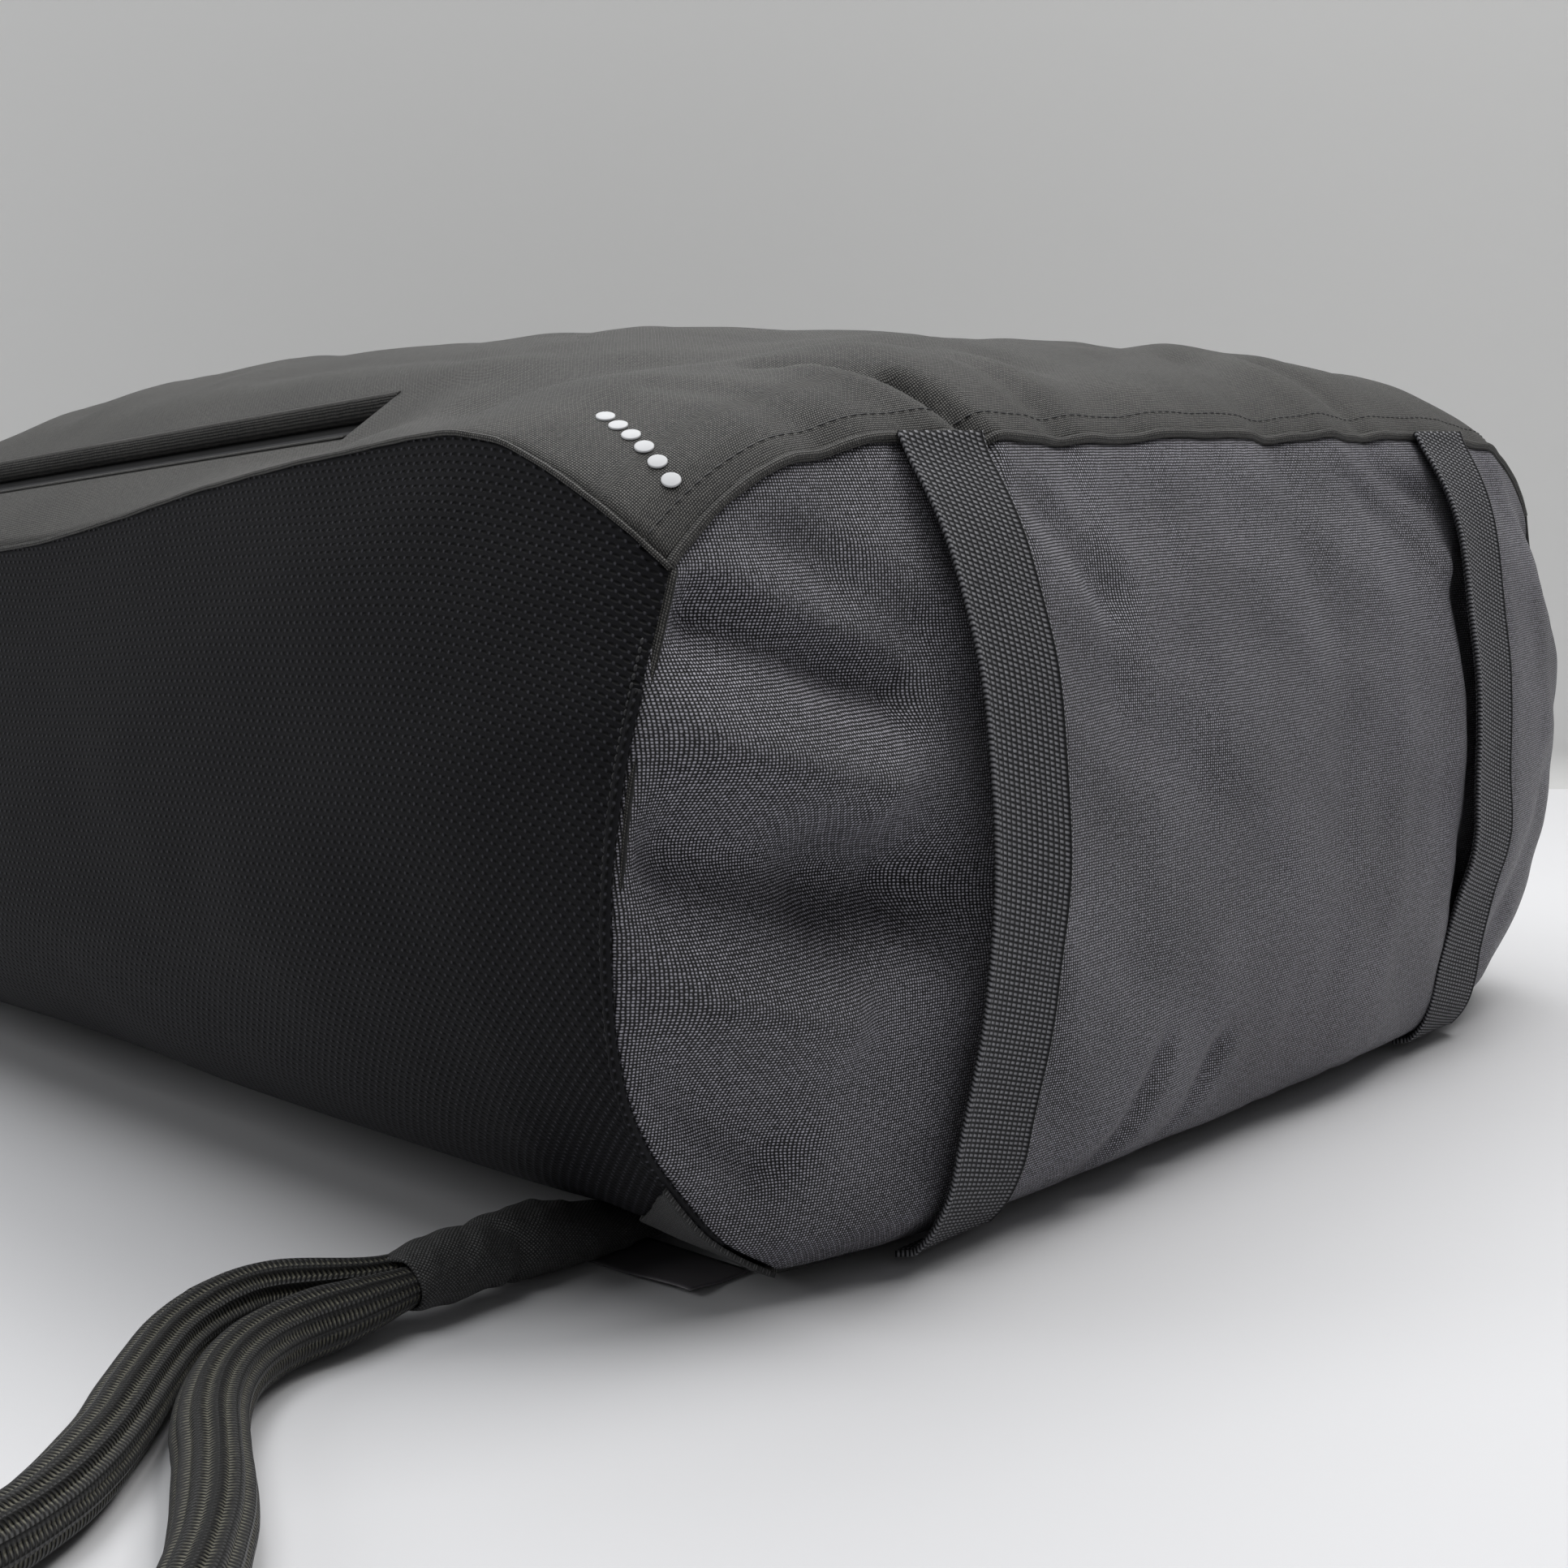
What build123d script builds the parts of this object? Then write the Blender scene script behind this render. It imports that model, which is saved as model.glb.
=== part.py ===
from build123d import *
import os
from math import atan2, degrees, pi, radians, tan

# Drawstring bag lying on its back panel. Millimetres.
# X runs across the bag, +Y runs from the bottom panel to the mouth, +Z is up through the front panel.

# ---- driving dimensions ----
wall = 2.0  # thickness of one fabric wall with its lining
seam_y = -228.0  # bottom seam of the body
mouth_y = 222.0  # where the body meets the gathered hem
hem_depth = 29.5  # depth of the gathered hem along the bag
panel_bulge = 20.0  # how far the bottom panel stands out past its seam
cap_inset = 42.0  # the bottom panel's sides, seam to its flat middle
cap_rise = 32.0  # its lower edge, floor to its flat middle
cap_drop = 28.0  # its upper edge, crown down to its flat middle
corner_radius = 50.0  # the lower long edges
shoulder_radius = 36.0  # the upper long edges
knee_radius = 60.0  # where the shoulder turns into the crown
knee_share = 0.62  # half width of the crown as a share of the body's half width

# y, half width, height of the shoulder, height of the crown
stations = [
    (seam_y, 176.0, 118.0, 153.0),
    (-130.0, 176.0, 138.0, 176.0),
    (100.0, 172.0, 114.0, 158.0),
    (mouth_y, 120.0, 58.0, 80.0),
]

cord = 11.0  # diameter of the round braided drawcord
tunnel = 11.8  # bore of the channel that the cord runs in
hem_thickness = 17.0  # gathered hem, wall to wall
upper_exit_x = -104.0  # where the upper strand leaves the hem

under_floor = 0.3  # how far the outer block starts below the floor before it is cut off

strap_width = 25.0  # flat elastic strap
strap_thickness = 1.3
strap_centre = 98.5  # distance of each strap from the middle of the bag
strap_gap = 2.2  # air between a strap and the bottom panel

pocket_depth = 8.0  # how far the mesh pocket stands out from the side wall
pocket_top_y = 98.0
pocket_hem = 10.0  # depth of the elastic hem along its mouth
pocket_low_z = 12.0
pocket_top_z = 111.5  # its upper edge at the mouth end
pocket_high_z = 134.5  # its upper edge at the bottom seam
mesh = 1.2
gusset_height = 42.0
gusset_y = -156.0

front_seam_at_mouth = 44.0
back_seam_at_mouth = 26.0
above_all = 220.0  # a height over the whole bag, for cutting blocks
# The long seams seen from the side, as (y, z).
front_seam = [(seam_y - 1, 136.0), (105.0, 112.0), (mouth_y, front_seam_at_mouth)]
back_seam = [(seam_y - 1, 10.0), (130.0, 12.0), (mouth_y, back_seam_at_mouth)]

zip_x = -140.0  # the zip lies on the left shoulder of the front panel
zip_start_y = -112.0  # closed end of the slot, towards the bottom panel
zip_end_y = 92.0  # end of the slot towards the mouth
slot_width = 13.0
tape_width = 11.0
tape_thickness = 0.7
coil_thickness = 1.8
coil_inner = 1.3
coil_outer = 3.4
slider_length = 12.0
slider_width = 10.0
slider_plate = 1.2
slider_gap = 2.6
puller_length = 26.0
puller_width = 7.0
puller_bar = 1.2  # thickness of the puller, and of the round bar that it turns on
puller_ring = 9.0  # length of the puller's open part

loop_y = -179.5  # the cord anchor loops leave the lower side seams here
label_y = -193.0


# ---- the body's outline ----
def station(y):
    """Half width, shoulder height and crown height at y, in straight steps between the stations."""
    for (y0, *low), (y1, *high) in zip(stations, stations[1:]):
        if y0 <= y <= y1:
            share = (y - y0) / (y1 - y0)
            return [a + (b - a) * share for a, b in zip(low, high)]
    raise ValueError("outside the body")


def section(y, shrink, extra=0.0):
    """Sketch of the body's outline at y, shrunk on every side and widened by extra."""
    half, shoulder, crown = station(y)
    half = half - shrink + extra
    knee = knee_share * (half - extra)
    low = shrink if shrink > 0 else shrink - under_floor  # the floor cut then leaves a true plane
    shoulder -= 0.75 * shrink
    crown -= shrink
    radii = [corner_radius, corner_radius, shoulder_radius, knee_radius, knee_radius, shoulder_radius]
    if y > 150:  # the narrow mouth end has tighter corners
        radii = [22.0, 22.0, 20.0, 40.0, 40.0, 20.0]
    radii = [r - 0.5 * shrink for r in radii]
    with BuildSketch(Plane.XZ.offset(-y)) as outline:
        with BuildLine():
            FilletPolyline(
                (-half, low), (half, low), (half, shoulder), (knee, crown), (-knee, crown), (-half, shoulder),
                radius=radii, close=True,
            )
        make_face()
    return outline.sketch


def body_solid(shrink, extra=0.0):
    """The whole body as one block, shrunk on every side, for cutting the panels from."""
    with BuildPart() as block:
        for y, *sizes in stations:
            add(section(y, shrink, extra))
        loft(ruled=True)
    return block.part


def side_prism(points):
    """A prism across the whole bag whose profile is given as (y, z) points."""
    with BuildPart() as prism:
        with BuildSketch(Plane.YZ):
            with BuildLine():
                Polyline(*points, close=True)
            make_face()
        extrude(amount=260, both=True)
    return prism.part


def above_floor(piece):
    """The piece with what lies below the floor cut off."""
    with BuildPart() as kept:
        add(piece)
        with Locations((0, 0, -5)):
            Box(600, 700, 10, mode=Mode.SUBTRACT)
    return kept.part


outer = body_solid(0.0)
inner = body_solid(wall)
past_mouth = mouth_y + 1
front_zone = side_prism(
    front_seam + [(past_mouth, front_seam_at_mouth), (past_mouth, above_all), (seam_y - 1, above_all)]
)
back_zone = side_prism(back_seam + [(past_mouth, back_seam_at_mouth), (past_mouth, -5.0), (seam_y - 1, -5.0)])


# ---- places along the zip ----
def facet_height(y):
    """Height of the shoulder facet above the floor at the zip's x."""
    half, shoulder, crown = station(y)
    knee = knee_share * half
    share = (half + zip_x) / (half - knee)
    return shoulder + (crown - shoulder) * share


zip_low = Vector(zip_x, zip_start_y, facet_height(zip_start_y))
zip_high = Vector(zip_x, zip_end_y, facet_height(zip_end_y))
zip_line = (zip_low - zip_high).normalized()
facet_half, facet_shoulder, facet_crown = station(0.5 * (zip_start_y + zip_end_y))
facet_slope = atan2(facet_crown - facet_shoulder, (1 - knee_share) * facet_half)
across = Vector(1, 0, tan(facet_slope))
zip_normal = across.cross(zip_line).normalized()
if zip_normal.Z < 0:
    zip_normal = zip_normal * -1
zip_plane = Plane(origin=(zip_low + zip_high) * 0.5, x_dir=zip_line, z_dir=zip_normal)
zip_length = (zip_high - zip_low).length
half_zip = zip_length / 2
coil_height = -5.0  # middle of the coils, under the panel's outer face
slider_start = 6.0 - half_zip  # the closed zip's slider, in the zip's own frame
bar_height = coil_height + slider_gap / 2 + slider_plate + 1.6


def zip_box(along, cross, up):
    """A box in the zip's own frame; each argument is a (low, high) pair."""
    sizes = [high - low for low, high in (along, cross, up)]
    middles = [0.5 * (high + low) for low, high in (along, cross, up)]
    with BuildPart(zip_plane) as block:
        with Locations(tuple(middles)):
            Box(*sizes)
    return block.part


slot_cut = zip_box((-half_zip, half_zip), (-slot_width / 2, slot_width / 2), (-6.0, 6.0))


# ---- soft panels ----
def make_front_panel():
    with BuildPart() as front_panel:
        add(outer)
        add(inner, mode=Mode.SUBTRACT)
        add(front_zone, mode=Mode.INTERSECT)
        add(slot_cut, mode=Mode.SUBTRACT)
    return front_panel.part


def make_back_panel():
    with BuildPart() as back_panel:
        add(outer)
        add(inner, mode=Mode.SUBTRACT)
        add(back_zone, mode=Mode.INTERSECT)
    return above_floor(back_panel.part)


def make_side_panel(side):
    with BuildPart() as side_panel:
        add(outer)
        add(inner, mode=Mode.SUBTRACT)
        add(front_zone, mode=Mode.SUBTRACT)
        add(back_zone, mode=Mode.SUBTRACT)
        split(bisect_by=Plane.YZ, keep=Keep.TOP if side > 0 else Keep.BOTTOM)
    return side_panel.part


def bottom_cap(shrink, depth):
    """Shallow crowned block behind the bottom seam, for cutting the bottom panel from."""
    half, shoulder, crown = station(seam_y)
    side_x = half - cap_inset
    knee_x = knee_share * half - 16
    low, high = cap_rise + shrink, crown - cap_drop - shrink
    with BuildPart() as cap:
        add(section(seam_y, shrink))
        with BuildSketch(Plane.XZ.offset(-(seam_y - depth))):
            with BuildLine():
                FilletPolyline(
                    (-side_x, low), (side_x, low), (side_x, shoulder - 30),
                    (knee_x, high), (-knee_x, high), (-side_x, shoulder - 30),
                    radius=[16.0, 16.0, 16.0, 30.0, 30.0, 16.0], close=True,
                )
            make_face()
        loft(ruled=True)
    return cap.part


outer_cap = bottom_cap(0.0, panel_bulge)


def make_bottom_panel():
    with BuildPart() as bottom_panel:
        add(outer_cap)
        add(bottom_cap(wall, panel_bulge - wall), mode=Mode.SUBTRACT)
    return above_floor(bottom_panel.part)


def make_strap(middle_x):
    """Flat elastic band from the front seam over the bottom panel to the back seam."""
    crown = station(seam_y)[2]
    face = seam_y - panel_bulge - strap_gap
    foot = seam_y + 0.4
    path = [(foot, crown + 0.4), (face, crown - cap_drop + 2), (face, cap_rise - 2), (foot, 1.0)]
    with BuildPart() as strap:
        with BuildSketch(Plane.YZ.offset(middle_x - strap_width / 2)):
            with BuildLine():
                outside = FilletPolyline(*[(y - strap_thickness, z) for y, z in path], radius=[26.0, 26.0])
                inside = FilletPolyline(*path, radius=[24.0, 24.0])
                Line(outside @ 0, inside @ 0)
                Line(outside @ 1, inside @ 1)
            make_face()
        extrude(amount=strap_width)
        add(outer_cap, mode=Mode.SUBTRACT)
        add(outer, mode=Mode.SUBTRACT)
    return strap.part


# ---- mesh pockets, gussets and hems on the sides ----
wide = body_solid(0.0, pocket_depth)
wide_inside = body_solid(mesh, pocket_depth)
skin = body_solid(-1.4)


def pocket_profile(inset, top_y):
    """Side view of the pocket: its lower corner is cut off where the woven gusset is."""
    low = seam_y + 0.3 + inset
    z_low = pocket_low_z + inset
    return [
        (low, gusset_height + 1.5 * inset), (gusset_y + inset, z_low), (top_y, z_low),
        (top_y, pocket_top_z - inset), (low, pocket_high_z - inset),
    ]


def make_mesh_pocket(side):
    with BuildPart() as mesh_pocket:
        add(wide)
        add(side_prism(pocket_profile(0.0, pocket_top_y)), mode=Mode.INTERSECT)
        add(wide_inside & side_prism(pocket_profile(mesh, pocket_top_y + 2)), mode=Mode.SUBTRACT)
        add(outer, mode=Mode.SUBTRACT)
        split(bisect_by=Plane.YZ.offset(side * 100), keep=Keep.TOP if side > 0 else Keep.BOTTOM)
    return mesh_pocket.part


def make_pocket_hem(side):
    """Elastic binding along the pocket's open edge."""
    low_z, high_z = pocket_low_z + 1, pocket_top_z - 1.5
    low_y, high_y = pocket_top_y, pocket_top_y + pocket_hem
    band = side_prism([(low_y, low_z), (high_y, low_z), (high_y, high_z), (low_y, high_z)])
    with BuildPart() as hem:
        extrude(section(pocket_top_y, -0.8, pocket_depth), amount=-pocket_hem)
        extrude(section(pocket_top_y, mesh + 0.6, pocket_depth), amount=-pocket_hem, mode=Mode.SUBTRACT)
        add(band, mode=Mode.INTERSECT)
        add(outer, mode=Mode.SUBTRACT)
        split(bisect_by=Plane.YZ.offset(side * 100), keep=Keep.TOP if side > 0 else Keep.BOTTOM)
    return hem.part


def make_gusset(side):
    """Woven triangle that backs the cord anchor at the lower corner."""
    corner = [(seam_y + 0.3, 2.0), (gusset_y + 12, 2.0), (gusset_y - 2, 9.0), (seam_y + 0.3, gusset_height - 2)]
    with BuildPart() as gusset:
        add(body_solid(-1.2))
        add(body_solid(-0.1), mode=Mode.SUBTRACT)
        add(side_prism(corner), mode=Mode.INTERSECT)
        split(bisect_by=Plane.YZ.offset(side * 100), keep=Keep.TOP if side > 0 else Keep.BOTTOM)
    return gusset.part


# ---- mouth ----
def make_mouth_hem():
    """Thick gathered hem with an open mouth and a tunnel for the cord."""
    with BuildPart() as mouth_hem:
        extrude(section(mouth_y, 0.0), amount=-hem_depth)
        extrude(section(mouth_y, hem_thickness), amount=-hem_depth, mode=Mode.SUBTRACT)
        sweep(tunnel_disc(tunnel), path=channel_path(), mode=Mode.SUBTRACT)
    return above_floor(mouth_hem.part)


def channel_path():
    """Centre line of the cord in the hem: in at the upper left, round the right end, out at the lower left."""
    y = mouth_y + hem_depth / 2
    half, shoulder, crown = station(mouth_y)
    edge = hem_thickness / 2
    with BuildLine() as line:
        FilletPolyline(
            (upper_exit_x, y, crown - edge), (half - 60, y, crown - edge), (half - edge - 2, y, shoulder - 12),
            (half - edge - 5, y, edge), (-half, y, edge),
            radius=[22.0, 16.0, 18.0],
        )
    return line.line


def tunnel_disc(diameter):
    start = channel_path() @ 0
    with BuildSketch(Plane(origin=start, z_dir=(1, 0, 0))) as disc:
        Circle(diameter / 2)
    return disc.sketch


def make_channel_cord():
    with BuildPart() as channel_cord:
        sweep(tunnel_disc(cord), path=channel_path())
    return channel_cord.part


# ---- drawcord ----
exit_y = mouth_y + hem_depth / 2
upper_route = [
    (-188, -172.5, 8.0), (-202, -167, 7.6), (-215, -165, 7.0), (-230, -168, 6.3), (-246, -181, 5.6),
    (-262, -196, 5.6), (-280, -208, 5.6), (-300, -213, 5.6), (-321, -206, 5.6), (-336, -186, 5.6),
    (-341, -156, 5.6), (-332, -116, 5.6), (-310, -70, 5.6), (-284, -14, 5.6), (-263, 52, 5.6),
    (-238, 108, 5.6), (-222, 160, 6.4), (-206, 196, 14.0), (-186, 218, 36.0), (-161, 232, 60.0),
    (-134, exit_y, 71.5), (upper_exit_x, exit_y, 71.5),
]
lower_route = [
    (-188, -186.5, 7.4), (-204, -181.5, 6.6), (-219, -179.5, 5.6), (-233, -186, 5.6), (-246, -199.5, 5.6),
    (-256, -216, 5.6), (-268, -233, 5.6), (-286, -251, 5.6), (-314, -262, 5.6), (-342, -253, 5.6),
    (-362, -230, 5.6), (-370, -196, 5.6), (-362, -148, 5.6), (-344, -88, 5.6), (-312, -30, 5.6),
    (-290, 34, 5.6), (-272, 96, 5.6), (-250, 152, 5.6), (-226, 202, 5.6), (-194, 230, 6.3),
    (-158, exit_y, 8.5), (-120, exit_y, 8.5),
]


def route_radii(points):
    """The largest arc that the two runs beside each corner allow."""
    radii = []
    for a, b, c in zip(points, points[1:], points[2:]):
        before = Vector(b) - Vector(a)
        after = Vector(c) - Vector(b)
        half_turn = radians(before.get_angle(after)) / 2
        radii.append(0.45 * min(before.length, after.length) / tan(half_turn))
    return radii


def make_strand(route, name):
    radii = route_radii(route)
    print(name, "radii", [round(r) for r in radii])
    with BuildPart() as strand:
        with BuildLine() as line:
            FilletPolyline(*route, radius=radii)
        start = Plane(origin=route[0], z_dir=Vector(route[1]) - Vector(route[0]))
        with BuildSketch(start):
            Circle(cord / 2)
        sweep(path=line.line)
    length = sum(edge.length for edge in line.line.edges())
    share = strand.part.volume / (length * pi * cord * cord / 4)
    print(name, "length", round(length), "volume share", round(share, 4))
    return strand.part


def make_cord_bight():
    """The tight turn inside the anchor loop that joins the two strands."""
    a, b = Vector(upper_route[0]), Vector(lower_route[0])
    middle = (a + b) * 0.5
    radius = (a - b).length / 2
    with BuildPart() as cord_bight:
        with BuildLine() as turn:
            ThreePointArc(a, middle + Vector(radius, 0, 0), b)
        with BuildSketch(Plane(origin=a, z_dir=(1, 0, 0))):
            Circle(cord / 2)
        sweep(path=turn.line)
    return cord_bight.part


def make_anchor_loop(side):
    """Rolled fabric sleeve sewn into the lower side seam; it narrows towards its tip."""
    # distance from the middle of the bag, half width along Y, lowest and highest point
    slices = [
        (140.0, 7.0, 0.9, 3.4), (152.0, 7.0, 0.8, 9.0), (168.0, 6.6, 1.0, 13.4), (186.0, 6.2, 1.5, 13.6),
        (196.0, 4.0, 3.0, 11.5),
    ]
    with BuildPart() as anchor_loop:
        for x, half, low, high in slices:
            with BuildSketch(Plane.YZ.offset(side * x)):
                with Locations((loop_y, (low + high) / 2)):
                    Ellipse(max(half, (high - low) / 2 + 0.01), min(half, (high - low) / 2))
        loft(ruled=True)
        add(skin, mode=Mode.SUBTRACT)
    return anchor_loop.part


# ---- zip ----
def make_zip_tape(side):
    inner_edge, outer_edge = coil_outer + 0.1, coil_outer + tape_width
    low, high = coil_height - tape_thickness / 2, coil_height + tape_thickness / 2
    ends = (-half_zip - 6, half_zip + 6)
    cross = (inner_edge, outer_edge) if side > 0 else (-outer_edge, -inner_edge)
    return zip_box(ends, cross, (low, high))


def make_zip_coil(side):
    low, high = coil_height - coil_thickness / 2, coil_height + coil_thickness / 2
    cross = (coil_inner, coil_outer) if side > 0 else (-coil_outer, -coil_inner)
    return zip_box((-half_zip + 4, half_zip - 4), cross, (low, high))


def make_zip_slider():
    """Two plates joined by a post between the coils, with a bridge that holds the puller."""
    middle = slider_start + slider_length / 2
    low = coil_height - slider_gap / 2
    high = coil_height + slider_gap / 2
    with BuildPart(zip_plane) as zip_slider:
        with Locations((middle, 0, low - slider_plate / 2), (middle, 0, high + slider_plate / 2)):
            Box(slider_length, slider_width, slider_plate)
        with Locations((middle, 0, coil_height)):
            Box(5.0, 2.0, slider_gap)
        with Locations((middle, 0, high + slider_plate + 1.8)):
            Box(8.0, 2.4, 3.6)
        with Locations((middle, 0, high + slider_plate + 1.6)):
            Box(4.4, 2.4, 1.8, mode=Mode.SUBTRACT)
    return zip_slider.part


def make_zip_puller():
    """A ring through the slider's bridge, and a flat tab that lies along the zip."""
    start = slider_start + slider_length / 2
    tab = puller_length - puller_ring
    with BuildPart(zip_plane) as zip_puller:
        with Locations((start, 0, bar_height)):
            Cylinder(puller_bar / 2, puller_width, rotation=(90, 0, 0))
        for cross in (-1, 1):
            with Locations((start + puller_ring / 2, cross * (puller_width - puller_bar) / 2, bar_height)):
                Box(puller_ring + puller_bar, puller_bar, puller_bar)
        with Locations((start + puller_ring + tab / 2, 0, bar_height)):
            Box(tab, puller_width, puller_bar)
    return zip_puller.part


def make_zip_stops():
    low, high = coil_height - coil_thickness / 2, coil_height + coil_thickness / 2
    both = (-coil_outer, coil_outer)
    top = zip_box((-half_zip + 1.2, -half_zip + 3.6), both, (low, high))
    bottom = zip_box((half_zip - 3.6, half_zip - 1.2), both, (low, high))
    with BuildPart() as zip_stops:
        add(top)
        add(bottom)
    return zip_stops.part


def make_pocket_lining():
    """Flat inner pocket under the crown, with a neck that rises to the zip."""
    low_y, high_y = zip_start_y - 8, zip_end_y - 4
    neck = slot_width / 2 + 3
    box_low, box_high = 100.0, 124.0
    neck_top = 170.0
    left, right = zip_x - neck - 1, -30.0
    middle = ((left + right) / 2, (low_y + high_y) / 2, (box_low + box_high) / 2)
    with BuildPart() as pocket_lining:
        with Locations(middle):
            Box(right - left, high_y - low_y, box_high - box_low)
        with Locations((zip_x, middle[1], (box_high + neck_top) / 2)):
            Box(2 * neck + 2, high_y - low_y, neck_top - box_high)
        with Locations(middle):
            Box(right - left - 2, high_y - low_y - 2, box_high - box_low - 2, mode=Mode.SUBTRACT)
        with Locations((zip_x, middle[1], 150)):
            Box(2 * neck, high_y - low_y - 2, 60, mode=Mode.SUBTRACT)
        add(zip_box((-200, 200), (-60, 60), (coil_height - 4.2, 80)), mode=Mode.SUBTRACT)
        add(body_solid(wall + 1.5), mode=Mode.INTERSECT)
    return pocket_lining.part


# ---- trim ----
def make_care_label():
    with BuildPart() as care_label:
        with Locations((-150.0, label_y, 0.35)):
            Box(16.0, 32.0, 0.5)
    return care_label.part


def make_bottom_binding():
    """Tape that binds the raw edges inside the bottom seam."""
    with BuildPart() as bottom_binding:
        extrude(section(seam_y, wall + 1.0), amount=-10)
        extrude(section(seam_y, wall + 2.2), amount=-10, mode=Mode.SUBTRACT)
    return bottom_binding.part.moved(Location((0, 1.0, 0)))


def make_side_binding(side, upper):
    """Tape that binds one long seam inside the bag."""
    with BuildPart() as side_binding:
        for y in (-120.0, 96.0):
            half, shoulder, crown = station(y)
            if upper:
                place = (side * (half - 8.0), shoulder - 24.0)
            else:
                place = (side * (half - 9.5), corner_radius - 8.0)
            with BuildSketch(Plane.XZ.offset(-y)):
                with Locations(place):
                    Rectangle(1.2, 9.0)
        loft(ruled=True)
    return side_binding.part


pieces = {
    "front_panel": make_front_panel(),
    "back_panel": make_back_panel(),
    "side_panel_left": make_side_panel(-1),
    "side_panel_right": make_side_panel(1),
    "bottom_panel": make_bottom_panel(),
    "elastic_strap_left": make_strap(-strap_centre),
    "elastic_strap_right": make_strap(strap_centre),
    "mesh_pocket_left": make_mesh_pocket(-1),
    "mesh_pocket_right": make_mesh_pocket(1),
    "pocket_hem_elastic_left": make_pocket_hem(-1),
    "pocket_hem_elastic_right": make_pocket_hem(1),
    "corner_gusset_left": make_gusset(-1),
    "corner_gusset_right": make_gusset(1),
    "mouth_hem": make_mouth_hem(),
    "drawcord_in_hem": make_channel_cord(),
    "drawcord_strand_upper": make_strand(upper_route, "upper strand"),
    "drawcord_strand_lower": make_strand(lower_route, "lower strand"),
    "drawcord_bight": make_cord_bight(),
    "cord_anchor_loop_left": make_anchor_loop(-1),
    "cord_anchor_loop_right": make_anchor_loop(1),
    "zip_tape_left": make_zip_tape(-1),
    "zip_tape_right": make_zip_tape(1),
    "zip_coil_left": make_zip_coil(-1),
    "zip_coil_right": make_zip_coil(1),
    "zip_slider": make_zip_slider(),
    "zip_puller": make_zip_puller(),
    "zip_end_stops": make_zip_stops(),
    "zip_pocket_lining": make_pocket_lining(),
    "care_label": make_care_label(),
    "bottom_seam_binding": make_bottom_binding(),
    "front_seam_binding_left": make_side_binding(-1, True),
    "front_seam_binding_right": make_side_binding(1, True),
    "back_seam_binding_left": make_side_binding(-1, False),
    "back_seam_binding_right": make_side_binding(1, False),
}

os.makedirs("parts", exist_ok=True)
for name, piece in pieces.items():
    piece.label = name
    export_step(piece, f"parts/{name}.step")
print("zip axis", zip_line, "slope", degrees(facet_slope), "normal", zip_normal)
print("puller pivot", zip_plane.from_local_coords(Vector(slider_start + slider_length / 2, 0, bar_height)))
print("zip cross", zip_plane.y_dir)
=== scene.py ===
"""Drawstring bag lying on its back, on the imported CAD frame.

Shapes are worked out in millimetres and made in metres.
"""
from math import pi

import bpy
import numpy as np
from mathutils import Matrix, Vector
from mathutils.kdtree import KDTree


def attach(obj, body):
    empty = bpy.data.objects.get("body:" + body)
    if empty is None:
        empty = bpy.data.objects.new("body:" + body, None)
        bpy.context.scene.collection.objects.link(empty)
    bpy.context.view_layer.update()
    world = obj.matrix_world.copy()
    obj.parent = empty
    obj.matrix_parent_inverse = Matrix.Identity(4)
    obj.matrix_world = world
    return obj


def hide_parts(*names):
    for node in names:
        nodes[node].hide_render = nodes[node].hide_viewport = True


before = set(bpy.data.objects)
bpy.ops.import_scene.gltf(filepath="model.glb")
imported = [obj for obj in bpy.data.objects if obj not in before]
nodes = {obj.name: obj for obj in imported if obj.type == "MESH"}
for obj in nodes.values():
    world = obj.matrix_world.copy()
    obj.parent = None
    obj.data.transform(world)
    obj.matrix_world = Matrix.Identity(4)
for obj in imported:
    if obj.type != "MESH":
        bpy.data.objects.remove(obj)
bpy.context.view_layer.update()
scene = bpy.context.scene
MM = 0.001
seam_y = -228.0  # the bottom seam of the body
mouth_y = 222.0  # where the body meets the gathered hem
sleeve_y = -179.5  # middle of the sleeves that hold the drawcord
strap_half = 12.5  # half the width of an elastic strap
slot_low, slot_high = -112.0, 92.0  # ends of the zip's slot
slot_left, slot_right = 9, 15  # columns of the front panel's grid on both sides of the slot
camera_place = (-432.0, -479.1, 153.0)
camera_aim = (0.7414, 0.6538, -0.1513)

# ---- camera ----
# Low, close three-quarter view of the bottom panel and the left side.
view = bpy.data.cameras.new("camera")
view.lens = 52.4
view.sensor_width = 36.0
view.clip_start = 0.02
camera = bpy.data.objects.new("camera", view)
scene.collection.objects.link(camera)
forward = Vector(camera_aim).normalized()
sideways = forward.cross(Vector((0, 0, 1))).normalized()
upward = sideways.cross(forward)
turn = Matrix((sideways, upward, -forward)).transposed().to_4x4()
camera.matrix_world = Matrix.Translation(Vector(camera_place) * MM) @ turn
scene.camera = camera
scene.view_settings.view_transform = "Standard"


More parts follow.
